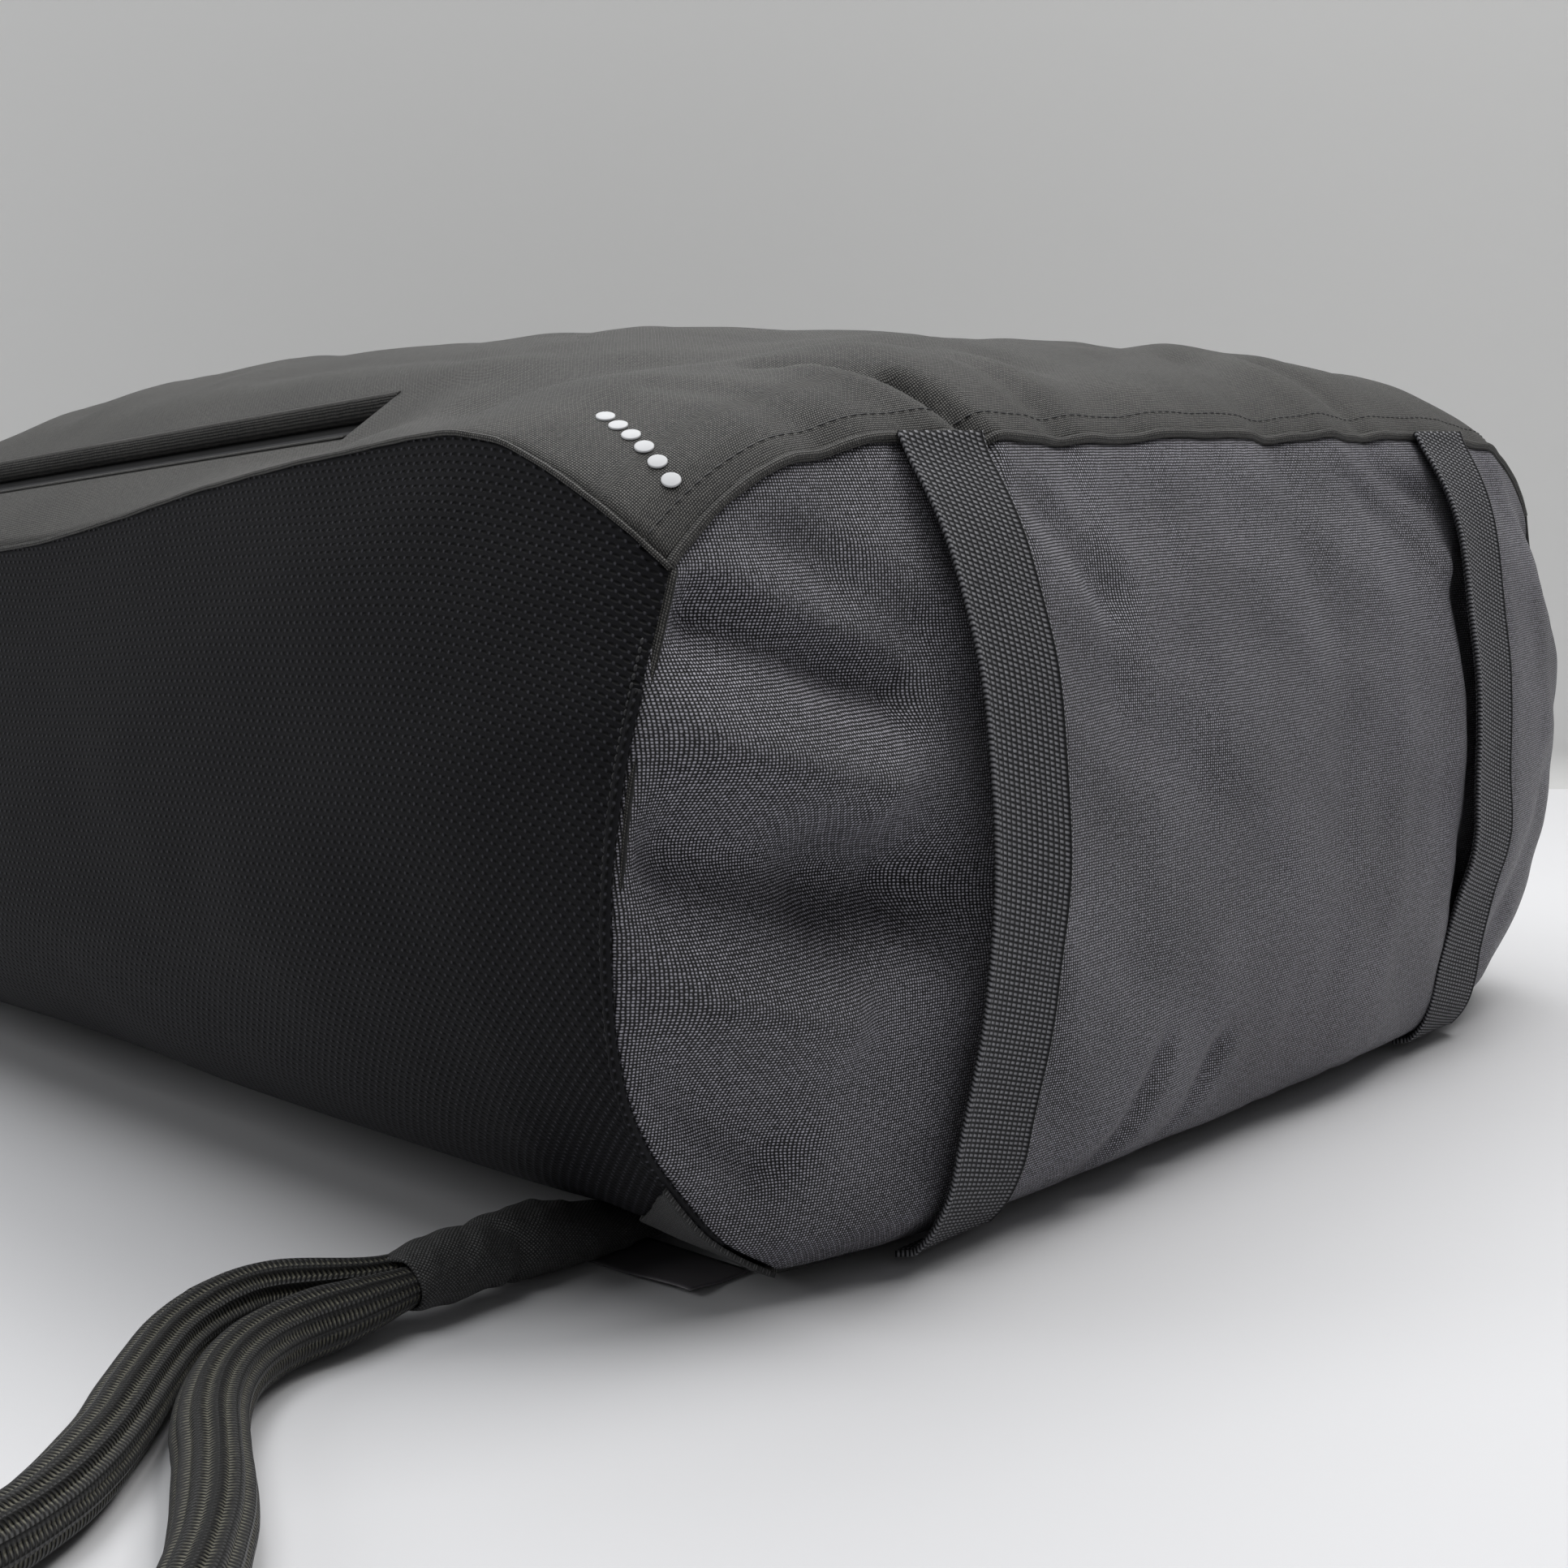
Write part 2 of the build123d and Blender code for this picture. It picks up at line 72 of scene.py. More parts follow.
# ---- numbers ----
def smooth(xs, ys):
    """A smooth curve through a small table, without overshoot."""
    xs, ys = np.array(xs, float), np.array(ys, float)
    step = np.diff(xs)
    rise = np.diff(ys) / step
    slope = np.empty_like(ys)
    both = rise[:-1] + rise[1:]
    same = rise[:-1] * rise[1:] > 0
    slope[1:-1] = np.where(same, 2 * rise[:-1] * rise[1:] / np.where(same, both, 1), 0)
    slope[0], slope[-1] = rise[0], rise[-1]

    def at(x):
        x = np.clip(x, xs[0], xs[-1])
        i = np.clip(np.searchsorted(xs, x, side="right") - 1, 0, len(xs) - 2)
        t = (x - xs[i]) / step[i]
        left = ys[i] * (1 + 2 * t) * (1 - t) ** 2 + slope[i] * step[i] * t * (1 - t) ** 2
        right = ys[i + 1] * t * t * (3 - 2 * t) + slope[i + 1] * step[i] * t * t * (t - 1)
        return left + right

    return at


def ease(low, high, x):
    """0 below low, 1 above high, and smooth between."""
    t = np.clip((x - low) / (high - low), 0, 1)
    return t * t * (3 - 2 * t)


class Noise:
    """Smooth seeded noise in three directions, about -1 to 1."""

    def __init__(self, seed):
        self.grid = np.random.default_rng(seed).uniform(-1, 1, (24, 24, 24))

    def __call__(self, p, size):
        q = p / np.array(size, float)
        i = np.floor(q).astype(int)
        t = q - i
        t = t * t * (3 - 2 * t)
        total = 0
        for a in (0, 1):
            for b in (0, 1):
                for c in (0, 1):
                    share = (t[..., 0] if a else 1 - t[..., 0]) * (t[..., 1] if b else 1 - t[..., 1])
                    share = share * (t[..., 2] if c else 1 - t[..., 2])
                    corner = self.grid[(i[..., 0] + a) % 24, (i[..., 1] + b) % 24, (i[..., 2] + c) % 24]
                    total = total + share * corner
        return total


noise_a, noise_b, noise_c, noise_d = Noise(3), Noise(11), Noise(27), Noise(41)


def through(points, count):
    """A Catmull-Rom curve through the points of the last but one axis, as count samples."""
    p = np.concatenate([2 * points[..., :1, :] - points[..., 1:2, :], points,
                        2 * points[..., -1:, :] - points[..., -2:-1, :]], axis=-2)
    spans = points.shape[-2] - 1
    at = np.linspace(0, spans, count)
    i = np.minimum(at.astype(int), spans - 1)
    t = (at - i)[:, None]
    a, b, c, d = p[..., i, :], p[..., i + 1, :], p[..., i + 2, :], p[..., i + 3, :]
    square = (2 * a - 5 * b + 4 * c - d) * t ** 2
    cube = (3 * b - a - 3 * c + d) * t ** 3
    return 0.5 * (2 * b + (c - a) * t + square + cube)


def run_along(p, axis=0):
    """Distance travelled along one axis of a line or grid of points."""
    steps = np.linalg.norm(np.diff(p, axis=axis), axis=-1)
    start = np.zeros_like(np.take(p[..., 0], [0], axis=axis))
    return np.concatenate([start, np.cumsum(steps, axis=axis)], axis=axis)


def even(points, spacing):
    """The same line with points at even distances."""
    run = run_along(points)
    count = max(2, int(round(run[-1] / spacing)) + 1)
    at = np.linspace(0, run[-1], count)
    return np.stack([np.interp(at, run, points[:, k]) for k in range(points.shape[1])], axis=1)


def resample(line, count):
    """The same line as count points at even distances."""
    run = run_along(line)
    run = run / run[-1]
    return np.stack([np.interp(np.linspace(0, 1, count), run, line[:, k]) for k in range(3)], axis=1)


def unit(v):
    """Vectors scaled to length 1."""
    return v / np.maximum(np.linalg.norm(v, axis=-1, keepdims=True), 1e-9)


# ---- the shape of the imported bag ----
half_width = smooth([-228, -190, -150, -96, -48, 23, 77, 100, 150, 190, 222],
                    [181, 184, 184.5, 181, 177, 173, 170, 168, 156, 142, 121])
seam_x = smooth([-228, -219, -199, -177, -143, -99, -56, 30, 92, 150, 190, 222],
                [166, 169, 171.5, 173, 173, 170, 168, 163, 158, 145, 129, 108])
seam_z = smooth([-228, -219, -199, -188, -177, -143, -99, -56, -23, 30, 92, 150, 190, 222],
                [132, 139, 149, 152.3, 153.3, 149.5, 143, 134.5, 129, 124, 118, 92, 70, 54])
crown_z = smooth([-228, -222, -215, -205, -190, -160, -120, -60, 0, 60, 100, 150, 190, 222],
                 [153.5, 158.5, 163.5, 168, 171.5, 174.5, 176.5, 177, 176, 171, 162, 137, 108, 81])
crown_power = smooth([-228, -215, -195, -150, -60, 100, 222], [9, 6.5, 4.4, 3.3, 3.2, 3.2, 2.6])
zip_z = smooth([-140, -112, 92, 120], [159.5, 156.9, 136.6, 133.8])
rows_y = np.concatenate([
    np.linspace(seam_y, -190, 24, endpoint=False), np.linspace(-190, slot_low, 40, endpoint=False),
    np.linspace(slot_low, slot_high, 86, endpoint=False), np.linspace(slot_high, mouth_y, 52),
])


def seam_y_at(y, edge):
    """Pulls the bottom seam back a little towards its corners; edge is 0 in the middle and 1 at a corner."""
    return y + (3.0 + 5.0 * edge ** 4) * (1 - ease(-228, -150, y))


def front_surface():
    """Rows from the bottom seam to the mouth, columns left to right, with the zip's slot on grid lines."""
    y = rows_y[:, None]
    xf = seam_x(y)
    pinch = np.minimum(1.0, xf / 158.0)
    stops = [-xf, -146.6 * pinch, -133.4 * pinch, 0 * xf, xf]
    counts = [slot_left, slot_right - slot_left, 60, 78]
    x = np.concatenate([a + (b - a) * np.linspace(0, 1, n, endpoint=False)[None, :]
                        for a, b, n in zip(stops, stops[1:], counts)] + [stops[-1]], axis=1)
    s = np.abs(x) / xf
    z = seam_z(y) + (crown_z(y) - seam_z(y)) * (1 - s ** crown_power(y))
    near = (1 - ease(9, 32, np.abs(x + 140))) * ease(-150, -118, y) * (1 - ease(98, 130, y))
    z = z * (1 - near) + near * (zip_z(y + 0 * x) + 0.622 * (x + 140))
    return np.stack([x, seam_y_at(y + 0 * x, s), z], axis=-1), near


def side_surface(side, shrink, columns=84, y=rows_y):
    """Rows from the bottom seam to the mouth, columns from the floor up to the front seam."""
    w = half_width(y) - shrink
    zf = seam_z(y)
    scale = zf / 150.0
    foot = 62 - 21 * (1 - ease(-228, -190, y))
    tight = (1 - ease(-228, -200, y))
    xs = [w - foot, w - 22, w - 5, w, w - 3, seam_x(y) - 0.6 * shrink]
    zs = [1.2 + 3.5 * tight + shrink * 0.3, 20 * scale + 0.4 * shrink, 46 * scale, 77 * scale, 110 * scale,
          zf - 0.3 * shrink]
    ring = np.stack([np.stack([side * a, y, b], axis=-1) for a, b in zip(xs, zs)], axis=1)
    out = through(ring, columns)
    out[..., 1] = seam_y_at(out[..., 1], np.ones_like(out[..., 1]))
    return out


def back_surface():
    w = half_width(rows_y) - (62 - 21 * (1 - ease(-228, -190, rows_y)))
    s = np.linspace(-1, 1, 61)[None, :]
    tight = (1 - ease(-228, -200, rows_y))[:, None]
    x = w[:, None] * s
    z = 0.9 + (0.3 + 3.5 * tight) * np.abs(s) ** 6 + 2.2 * tight * (1 - np.abs(s) ** 6)
    y = seam_y_at(rows_y[:, None] + 0 * x, np.abs(s))
    return np.stack([x, y, z], axis=-1)


def groove(p, a, b, depth, width, axes):
    """How deep a crease along the line a-b cuts at each point, fading at its ends."""
    q = p[..., axes]
    a, b = np.array(a, float), np.array(b, float)
    run = b - a
    t = np.clip(((q - a) @ run) / (run @ run), 0, 1)
    near = np.linalg.norm(q - (a + t[..., None] * run), axis=-1)
    return depth * np.exp(-(near / width) ** 2)


def creases(p, axes, lines):
    """Several grooves together."""
    total = 0
    for a, b, depth, width in lines:
        total = total + groove(p, a, b, depth, width, axes)
    return total


def outwards(p):
    """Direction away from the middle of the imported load."""
    core = np.stack([np.clip(p[..., 0], -105, 105), np.clip(p[..., 1], -150, 150),
                     np.clip(p[..., 2], 72, 84)], axis=-1)
    return unit(p - core)


def relief(p):
    """Soft folds that the whole load shares, in millimetres outwards."""
    high = ease(8, 40, p[..., 2])
    big = 1.5 * noise_a(p, (64, 90, 52)) + 0.8 * noise_b(p + 40, (30, 46, 26))
    small = 0.32 * noise_c(p + 9, (11, 16, 10))
    return (big + small) * high * ease(-226, -196, p[..., 1])


def shaped(p, amount):
    return p + outwards(p) * amount[..., None]


def unfold(p):
    """Cloth coordinates in metres: distance along the columns and along the rows from the middle."""
    across = run_along(p, axis=1)
    across = across - across[:, across.shape[1] // 2][:, None]
    down = run_along(p, axis=0)
    down = down.mean(axis=1)[:, None] + 0 * down
    return np.stack([across, down], axis=-1) * MM


# ---- making objects ----
def new_object(name, vertices, faces, uvs, material):
    """A smooth-shaded mesh from points in millimetres, with one UV pair for each point or none."""
    mesh = bpy.data.meshes.new(name)
    mesh.from_pydata([tuple(v) for v in np.asarray(vertices) * MM], [], faces)
    if uvs is not None:
        layer = mesh.uv_layers.new(name="cloth")
        flat_uv = np.array([uvs[i] for face in faces for i in face], float)
        layer.data.foreach_set("uv", flat_uv.ravel())
    mesh.polygons.foreach_set("use_smooth", [True] * len(mesh.polygons))
    mesh.materials.append(material)
    mesh.update()
    made = bpy.data.objects.new(name, mesh)
    scene.collection.objects.link(made)
    return made


def grid_faces(rows, columns, closed=False, flip=False, keep=None):
    """Four-sided faces over a grid of points; keep says which of them are wanted."""
    faces = []
    last = columns if closed else columns - 1
    for i in range(rows - 1):
        for j in range(last):
            if keep is not None and not keep[i, j]:
                continue
            k = (j + 1) % columns
            face = (i * columns + j, i * columns + k, (i + 1) * columns + k, (i + 1) * columns + j)
            faces.append(face[::-1] if flip else face)
    return faces


def cloth(name, p, material, thickness, flip=False, uv=None, keep=None):
    """A grid of points as a panel of cloth with real thickness, its outer face where the points are."""
    uv = unfold(p) if uv is None else uv
    rows, columns = p.shape[:2]
    faces = grid_faces(rows, columns, flip=flip, keep=keep)
    made = new_object(name, p.reshape(-1, 3), faces, uv.reshape(-1, 2), material)
    solid = made.modifiers.new("thickness", "SOLIDIFY")
    solid.thickness = thickness * MM
    solid.offset = -1.0
    return made


def frames_along(points):
    """Two directions across the line at each point, turned as little as possible."""
    tangent = unit(np.gradient(points, axis=0))
    side = np.cross(tangent[0], (0, 0, 1.0))
    if np.linalg.norm(side) < 0.1:
        side = np.cross(tangent[0], (0, 1.0, 0))
    sides = [side / np.linalg.norm(side)]
    for t in tangent[1:]:
        s = sides[-1] - t * (sides[-1] @ t)
        sides.append(s / np.linalg.norm(s))
    sides = np.array(sides)
    return sides, np.cross(tangent, sides)


def tube(name, points, radius, material, around=16, ribs=0, rib_depth=0.0, squash=None, spin=0.0):
    """A round or oval tube along the points; UV is (share round it, distance along it in metres)."""
    side, over = frames_along(points)
    count = len(points)
    radius = np.broadcast_to(np.asarray(radius, float), (count,))
    angle = np.linspace(0, 2 * pi, around + 1)[:-1]
    profile = 1 + rib_depth * (np.abs(np.cos(ribs * angle / 2)) - 0.5) if ribs else np.ones(around)
    ratio = np.ones((count, 2)) if squash is None else np.asarray(squash, float)
    run = run_along(points)
    twist = angle[None, :] + spin * run[:, None]
    reach = radius[:, None] * profile[None, :]
    sideward = (reach * np.cos(twist) * ratio[:, :1])[..., None] * side[:, None]
    overhead = (reach * np.sin(twist) * ratio[:, 1:])[..., None] * over[:, None]
    ring = points[:, None] + sideward + overhead
    faces = grid_faces(count, around, closed=True, flip=True)
    uvs = [(j / around, run[i] * MM) for i in range(count) for j in range(around)]
    vertices = ring.reshape(-1, 3)
    faces.append(tuple(range(around)))
    faces.append(tuple(reversed(range((count - 1) * around, count * around))))
    made = new_object(name, vertices, faces, uvs, material)
    wrap_uv(made, around)
    return made


def wrap_uv(made, around):
    """Lets the last strip round a tube run on to 1 instead of back to 0."""
    layer = made.data.uv_layers["cloth"].data
    for polygon in made.data.polygons:
        if len(polygon.loop_indices) != 4:
            continue
        us = [layer[i].uv[0] for i in polygon.loop_indices]
        if max(us) - min(us) > 0.5:
            for i in polygon.loop_indices:
                if layer[i].uv[0] < 0.5:
                    layer[i].uv[0] += 1.0


# ---- materials ----
def linear(code):
    """Linear colour from an sRGB hex code."""
    out = []
    for start in (0, 2, 4):
        c = int(code[start:start + 2], 16) / 255
        out.append(c / 12.92 if c <= 0.04045 else ((c + 0.055) / 1.055) ** 2.4)
    return (*out, 1.0)


def add_node(tree, kind, links=None, **values):
    """One node, with its properties and inputs set and its inputs linked."""
    node = tree.nodes.new(kind)
    for key, value in values.items():
        if key.startswith("in_"):
            node.inputs[int(key[3:])].default_value = value
        else:
            setattr(node, key, value)
    for key, source in (links or {}).items():
        tree.links.new(source, node.inputs[key])
    return node


def blank_material(name):
    """A new material with its node tree and its shader."""
    material = bpy.data.materials.new(name)
    material.use_nodes = True
    tree = material.node_tree
    shader = tree.nodes["Principled BSDF"]
    return material, tree, shader


def math(tree, kind, a, b=None, c=None):
    """The result of one math node on numbers or other nodes' outputs."""
    node = tree.nodes.new("ShaderNodeMath")
    node.operation = kind
    for socket, value in zip(node.inputs, (a, b, c)):
        if value is None:
            continue
        if isinstance(value, (int, float)):
            socket.default_value = value
        else:
            tree.links.new(value, socket)
    return node.outputs[0]


def ramp(tree, source, stops):
    """Colours looked up along a value."""
    node = tree.nodes.new("ShaderNodeValToRGB")
    while len(node.color_ramp.elements) < len(stops):
        node.color_ramp.elements.new(0.5)
    for element, (place, colour) in zip(node.color_ramp.elements, stops):
        element.position = place
        element.color = colour
    tree.links.new(source, node.inputs[0])
    return node.outputs[0]


def off_centre(tree, source, amount):
    """Noise moved from 0..1 to both sides of zero, times an amount."""
    return math(tree, "MULTIPLY", math(tree, "SUBTRACT", source, 0.5), amount)


def noise(tree, where, scale, detail=2.0):
    """The value of a noise texture."""
    made = add_node(tree, "ShaderNodeTexNoise", {"Vector": where})
    made.inputs["Scale"].default_value = scale
    made.inputs["Detail"].default_value = detail
    return made.outputs[0]


def set_look(shader, **values):
    """Sets the shader's inputs; an underscore stands for a space in their names."""
    for key, value in values.items():
        shader.inputs[key.replace("_", " ")].default_value = value


def uv_parts(tree):
    uv = add_node(tree, "ShaderNodeUVMap", uv_map="cloth").outputs[0]
    split = add_node(tree, "ShaderNodeSeparateXYZ", {0: uv})
    return uv, split.outputs[0], split.outputs[1]


def finish_bump(tree, shader, height, strength, distance):
    bump = add_node(tree, "ShaderNodeBump", {"Height": height})
    bump.inputs["Strength"].default_value = strength
    bump.inputs["Distance"].default_value = distance
    tree.links.new(bump.outputs[0], shader.inputs["Normal"])


def woven(name, gap, thread, glint, pitch, strength=0.8, rough=0.62, turned=0.0):
    """Plain weave: threads over and under; the gap colour is painted shade between the threads and the glint
    colour a painted highlight on each crossing.
    """
    material, tree, shader = blank_material(name)
    uv, u, v = uv_parts(tree)
    if turned:
        spun = add_node(tree, "ShaderNodeVectorRotate", {0: uv}, rotation_type="Z_AXIS")
        spun.inputs["Angle"].default_value = turned
        split = add_node(tree, "ShaderNodeSeparateXYZ", {0: spun.outputs[0]})
        u, v = split.outputs[0], split.outputs[1]
    drift = off_centre(tree, noise(tree, uv, 420.0, 1.0), pitch * 0.5)
    a = math(tree, "SINE", math(tree, "MULTIPLY", math(tree, "ADD", u, drift), pi / pitch))
    b = math(tree, "SINE", math(tree, "MULTIPLY", math(tree, "ADD", v, drift), pi / pitch))
    cross = math(tree, "MULTIPLY", a, b)
    crest = math(tree, "ABSOLUTE", cross)
    over = math(tree, "GREATER_THAN", cross, 0.0)
    level = math(tree, "ADD", crest, off_centre(tree, noise(tree, uv, 900.0), 0.7))
    level = math(tree, "ADD", level, math(tree, "MULTIPLY", over, 0.16))
    level = math(tree, "ADD", level, off_centre(tree, noise(tree, uv, 26.0, 3.0), 0.35))
    # Painted shade in the gaps between the threads and a painted highlight on the crossings.
    colour = ramp(tree, level, [(0.12, gap), (0.55, thread), (1.0, glint)])
    tree.links.new(colour, shader.inputs["Base Color"])
    set_look(shader, Roughness=rough, Specular_IOR_Level=0.42, Sheen_Weight=0.06, Sheen_Roughness=0.45)
    height = math(tree, "POWER", crest, 0.6)
    finish_bump(tree, shader, height, strength, pitch * 0.38)
    return material


def knitted(name, base, hole, dot, wide=2.1 * MM, tall=1.4 * MM, strength=0.9):
    """Warp-knit mesh: rows of short slots, every other row moved by half, with a raised yarn dot between
    them; the hole colour is painted shade in the open slots and the dot colour a painted highlight on each
    dot.
    """
    material, tree, shader = blank_material(name)
    uv, v, u = uv_parts(tree)
    row = math(tree, "DIVIDE", v, tall)
    shift = math(tree, "MULTIPLY", math(tree, "FLOORED_MODULO", math(tree, "FLOOR", row), 2.0), 0.5)
    along = math(tree, "ADD", math(tree, "DIVIDE", u, wide), shift)
    fu = math(tree, "SUBTRACT", math(tree, "FRACT", along), 0.5)
    fv = math(tree, "SUBTRACT", math(tree, "FRACT", row), 0.5)
    far_u = math(tree, "POWER", math(tree, "DIVIDE", math(tree, "ABSOLUTE", fu), 0.36), 2.0)
    far_v = math(tree, "POWER", math(tree, "DIVIDE", math(tree, "ABSOLUTE", fv), 0.27), 2.0)
    ring = math(tree, "ADD", far_u, far_v)
    open_slot = math(tree, "SUBTRACT", 1.0, math(tree, "SMOOTH_MIN", ring, 1.0, 0.4))
    edge_u = math(tree, "DIVIDE", math(tree, "SUBTRACT", 0.5, math(tree, "ABSOLUTE", fu)), 0.16)
    edge_v = math(tree, "DIVIDE", math(tree, "ABSOLUTE", fv), 0.26)
    from_dot = math(tree, "ADD", math(tree, "POWER", edge_u, 2.0), math(tree, "POWER", edge_v, 2.0))
    speck = math(tree, "SUBTRACT", 1.0, from_dot)
    fuzz = math(tree, "MULTIPLY", noise(tree, uv, 1500.0), 1.3)
    speck = math(tree, "MULTIPLY", math(tree, "MAXIMUM", speck, 0.0), fuzz)
    pit = math(tree, "MAXIMUM", open_slot, 0.0)
    yarn = math(tree, "MULTIPLY", math(tree, "SUBTRACT", 1.0, pit), 0.4)
    shade = math(tree, "ADD", math(tree, "MULTIPLY", speck, 0.55), yarn)
    # Painted shade in the open slots and a painted highlight on the yarn dots.
    colour = ramp(tree, shade, [(0.05, hole), (0.4, base), (0.85, dot)])
    tree.links.new(colour, shader.inputs["Base Color"])
    set_look(shader, Roughness=0.6, Specular_IOR_Level=0.14)
    height = math(tree, "SUBTRACT", math(tree, "MULTIPLY", speck, 0.5), math(tree, "MULTIPLY", pit, 0.8))
    finish_bump(tree, shader, height, strength, 0.45 * MM)
    return material


def elastic(name, gap, thread, glint):
    """Ribbed elastic: covered rubber cords along it, wrapped by threads that step from rib to rib; the gap
    colour is painted shade between the ribs and the glint colour a painted highlight on the threads' crests.
    """
    material, tree, shader = blank_material(name)
    uv, u, v = uv_parts(tree)
    rib = math(tree, "DIVIDE", u, 1.65 * MM)
    ridge = math(tree, "ABSOLUTE", math(tree, "SINE", math(tree, "MULTIPLY", rib, pi)))
    odd = math(tree, "MULTIPLY", math(tree, "FLOORED_MODULO", math(tree, "FLOOR", rib), 2.0), 0.5)
    lean = math(tree, "MULTIPLY", math(tree, "SUBTRACT", math(tree, "FRACT", rib), 0.5), 0.5)
    turns = math(tree, "ADD", math(tree, "ADD", math(tree, "DIVIDE", v, 1.0 * MM), odd), lean)
    wrap = math(tree, "ABSOLUTE", math(tree, "SINE", math(tree, "MULTIPLY", turns, pi)))
    cover = math(tree, "ADD", math(tree, "MULTIPLY", wrap, 0.75), 0.2)
    level = math(tree, "MULTIPLY", math(tree, "POWER", ridge, 0.7), cover)
    level = math(tree, "ADD", level, off_centre(tree, noise(tree, uv, 1300.0), 0.5))
    # Painted shade between the ribs and a painted highlight on the wrapped crests.
    colour = ramp(tree, level, [(0.05, gap), (0.5, thread), (1.0, glint)])
    tree.links.new(colour, shader.inputs["Base Color"])
    set_look(shader, Roughness=0.68, Specular_IOR_Level=0.18, Sheen_Weight=0.04)
    finish_bump(tree, shader, math(tree, "MULTIPLY", wrap, ridge), 0.8, 0.3 * MM)
    return material


def braided(name, ribs=12, step=0.9 * MM):
    """Tubular braid: ribs along the cord, each a row of small chevrons; drawn a little coarser than real. Its
    darkest colour is painted shade between the ribs and its lightest a painted highlight on the floats.
    """
    material, tree, shader = blank_material(name)
    uv, u, v = uv_parts(tree)
    rib = math(tree, "MULTIPLY", u, float(ribs))
    inside = math(tree, "SUBTRACT", math(tree, "FRACT", rib), 0.5)
    lean = math(tree, "MULTIPLY", math(tree, "ABSOLUTE", inside), 1.5)
    turns = math(tree, "SUBTRACT", math(tree, "DIVIDE", v, step), lean)
    float_thread = math(tree, "ABSOLUTE", math(tree, "SINE", math(tree, "MULTIPLY", turns, pi)))
    ridge = math(tree, "SUBTRACT", 1.0, math(tree, "MULTIPLY", math(tree, "ABSOLUTE", inside), 1.9))
    coords = add_node(tree, "ShaderNodeTexCoord").outputs["Object"]
    level = math(tree, "MULTIPLY", float_thread, math(tree, "POWER", math(tree, "MAXIMUM", ridge, 0.02), 0.8))
    shine = math(tree, "ADD", level, off_centre(tree, noise(tree, coords, 1600.0), 0.6))
    # Painted shade between the ribs and a painted olive-grey highlight on the floats.
    colour = ramp(tree, shine, [(0.12, linear("030303")), (0.5, linear("171614")), (0.9, linear("6f6d60"))])
    tree.links.new(colour, shader.inputs["Base Color"])
    set_look(shader, Roughness=0.5, Specular_IOR_Level=0.4, Sheen_Weight=0.1)
    finish_bump(tree, shader, level, 1.0, 0.45 * MM)
    return material


def plain(name, colour, rough, specular=0.5, grain=0.0, grain_scale=300.0):
    """One colour all over, with a fine grain."""
    material, tree, shader = blank_material(name)
    set_look(shader, Base_Color=colour, Roughness=rough, Specular_IOR_Level=specular)
    coords = add_node(tree, "ShaderNodeTexCoord").outputs["Object"]
    finish_bump(tree, shader, noise(tree, coords, grain_scale, 4.0), grain, 0.3 * MM)
    return material


# In each woven, elastic and knitted cloth below, the darkest colour is painted shade in the gaps or holes and
# the lightest a painted highlight on the crests.
# Matte 600-denier polyester of the base: its threads show one by one, with a painted highlight at each
# crossing and painted shade between the threads.
base_cloth = woven("polyester_plain_weave_base", linear("060606"), linear("343338"), linear("bab8c2"),
                   0.56 * MM, strength=1.0, rough=0.48)
# Finer, darker polyester of the front panel; a faint warm grey in the light.
front_cloth = woven("polyester_fine_weave_front", linear("080808"), linear("292826"), linear("6c6a66"),
                    0.5 * MM)
# The same cloth cut on the slant, as on the rolled cord sleeve.
sleeve_cloth = woven("polyester_fine_weave_bias", linear("070707"), linear("222222"), linear("555555"),
                     0.55 * MM, strength=0.7, turned=0.6)
# Near-black warp-knit mesh: rows of slots in painted shade and tiny yarn dots with a painted highlight.
mesh_knit = knitted("warp_knit_mesh", linear("161619"), linear("030304"), linear("47474d"))
# Ribbed elastic webbing of the base straps.
strap_elastic = elastic("elastic_webbing_ribbed", linear("040404"), linear("2b2b2e"), linear("9a9a9e"))
# Thick tubular braid, black, with a painted olive-grey highlight on its floats.
cord_braid = braided("polyester_tubular_braid")
# Taffeta lining, slightly shiny.
lining_cloth = woven("taffeta_lining", linear("202024"), linear("3c3c42"), linear("66666c"),
                     0.6 * MM, strength=0.3, rough=0.45)
# Plain binding tape over raw edges and on the pocket mouths.
tape_cloth = woven("grosgrain_binding_tape", linear("0a0a0b"), linear("222225"), linear("4c4c50"), 0.8 * MM)
# Satin ribbon of the care label: smooth mid grey, with a soft shine.
label_satin = plain("satin_ribbon_label", linear("6c696d"), 0.4, grain=0.1)
# Woven zip tape, flatter and a little greyer than the panels.
zip_cloth = woven("zip_tape_herringbone", linear("1e1e1f"), linear("48484b"), linear("75757a"), 0.6 * MM, 0.6)
# Dark grey nylon coil of the zip.
zip_nylon = plain("nylon_zip_coil", linear("3a3a3c"), 0.45, grain=0.05)
# Black enamel on the cast zinc slider, puller and stops.
zip_enamel = plain("enamelled_zinc", linear("202022"), 0.32, specular=0.6, grain=0.04)
# Sewing thread, slightly shiny black polyester.
thread = plain("sewing_thread", linear("252527"), 0.55, grain=0.2, grain_scale=900.0)
# Pale reflective print of the plain dot mark.
reflective = plain("reflective_ink", linear("cfd0d2"), 0.45, grain=0.1, grain_scale=1200.0)
# Off-white painted table and wall.
table_paint = plain("painted_table", linear("e2e2e4"), 0.6, specular=0.3, grain=0.25, grain_scale=220.0)
wall_paint = plain("painted_wall", linear("cfcfce"), 0.9, specular=0.1)


